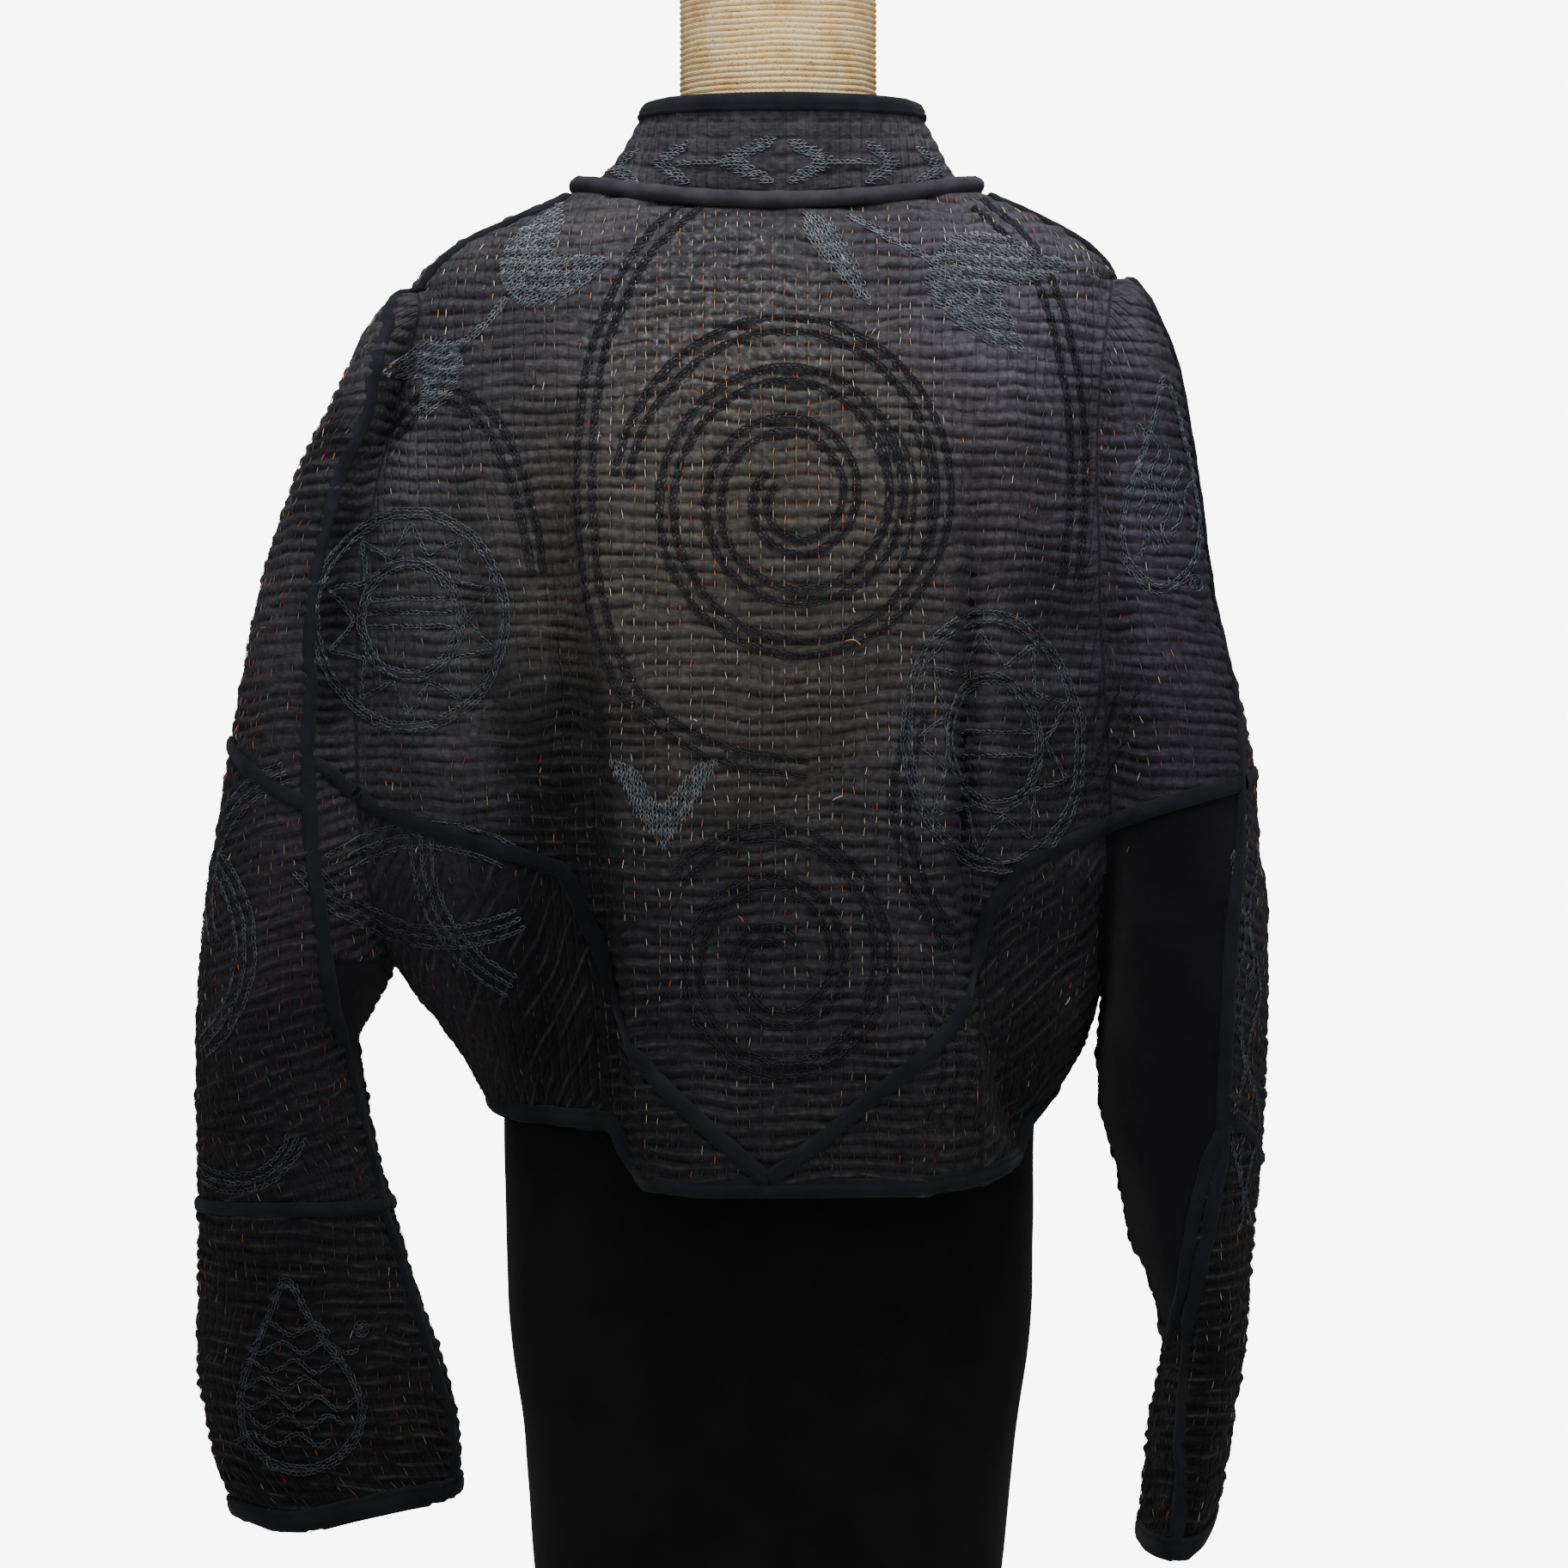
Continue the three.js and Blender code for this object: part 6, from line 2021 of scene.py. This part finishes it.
LOOSE_ENDS = {
    "cream": [(47, 700, 9), (-45, 634, 8), (-210, 560, 6), (176, 470, 7), (40, 590, 6)],
    "orange": [(42, 680, 13), (-93, 838, 9), (-100, 800, 6), (60, 864, 6), (-20, 520, 5)],
    "pink": [(-228, 846, 5), (-60, 566, 6), (-300, 690, 5), (212, 560, 6), (-106, 572, 5), (150, 690, 5)],
}
for k, (tone, places) in enumerate(LOOSE_ENDS.items()):
    roots = []
    for x, z, length in places:
        spots, ways = cast_line([(x, z)], ridge_tree)
        roots.append((spots[0], ways[0], length))
    loose_threads("loose_" + tone, roots, thread_materials[2 + k], 0.24, 200 + k)
fluff_random = np.random.default_rng(77)
fluff = [
    ((4 + fluff_random.normal(0, 5), -52 + fluff_random.normal(0, 2), 1008 + fluff_random.uniform(0, 3)),
     (0, -0.3, 1.0), fluff_random.uniform(5, 12)) for _ in range(16)
]
loose_threads("loose_fluff", fluff, black_yarn, 0.3, 210)


# ---- Camera, lights and floor ---------------------------------------------------------------------

def add_light(name, place, target, energy, size, colour=(1, 1, 1)):
    light = bpy.data.lights.new(name, "AREA")
    light.energy, light.size, light.color = energy, size, colour
    thing = bpy.data.objects.new(name, light)
    thing.location = place
    thing.rotation_euler = (Vector(target) - Vector(place)).to_track_quat("-Z", "Y").to_euler()
    bpy.context.scene.collection.objects.link(thing)


camera_data = bpy.data.cameras.new("camera")
camera_data.lens, camera_data.sensor_width = 151.7, 36.0
camera_data.clip_end = 40.0
camera = bpy.data.objects.new("camera", camera_data)
camera.location = (0.0065, -4.0, 0.597)
camera.rotation_euler = (math.radians(90), 0, 0)
bpy.context.scene.collection.objects.link(camera)
bpy.context.scene.camera = camera

add_light("top", (0.0, -0.9, 2.7), (0, 0, 0.75), 62, 1.3)
add_light("front_fill", (-1.4, -2.6, 1.5), (0, 0, 0.6), 20, 1.6)
add_light("right_fill", (1.9, -1.8, 1.7), (0, 0, 0.6), 16, 1.3)
add_light("rim", (0.4, 1.8, 2.2), (0, 0, 0.8), 14, 1.2)

world = bpy.data.worlds.new("world")
bpy.context.scene.world = world
world.use_nodes = True
background = world.node_tree.nodes["Background"]
background.inputs["Color"].default_value = (1, 1, 1, 1)
path_node = world.node_tree.nodes.new("ShaderNodeLightPath")
strength = world.node_tree.nodes.new("ShaderNodeMapRange")
strength.inputs["To Min"].default_value = 0.2
strength.inputs["To Max"].default_value = 8.0
world.node_tree.links.new(path_node.outputs["Is Camera Ray"], strength.inputs["Value"])
world.node_tree.links.new(strength.outputs[0], background.inputs["Strength"])

floor_mesh = bpy.data.meshes.new("floor")
floor_mesh.from_pydata([(-2, -1.6, 0), (2, -1.6, 0), (2, 0.85, 0), (-2, 0.85, 0)], [], [(0, 1, 2, 3)])
floor = bpy.data.objects.new("floor", floor_mesh)
floor_nodes = Nodes("floor_white")
floor_nodes.set(Base_Color=(0.85, 0.85, 0.85, 1), Roughness=0.9)
floor_mesh.materials.append(floor_nodes.material)
bpy.context.scene.collection.objects.link(floor)


# ---- The flat cut of each cloth piece -----------------------------------------------------------------

for piece_name, thing in cloth_pieces.items():
    cut = COLLAR_CUT if piece_name == "collar_stand" else FLAT_CUTS[piece_name]
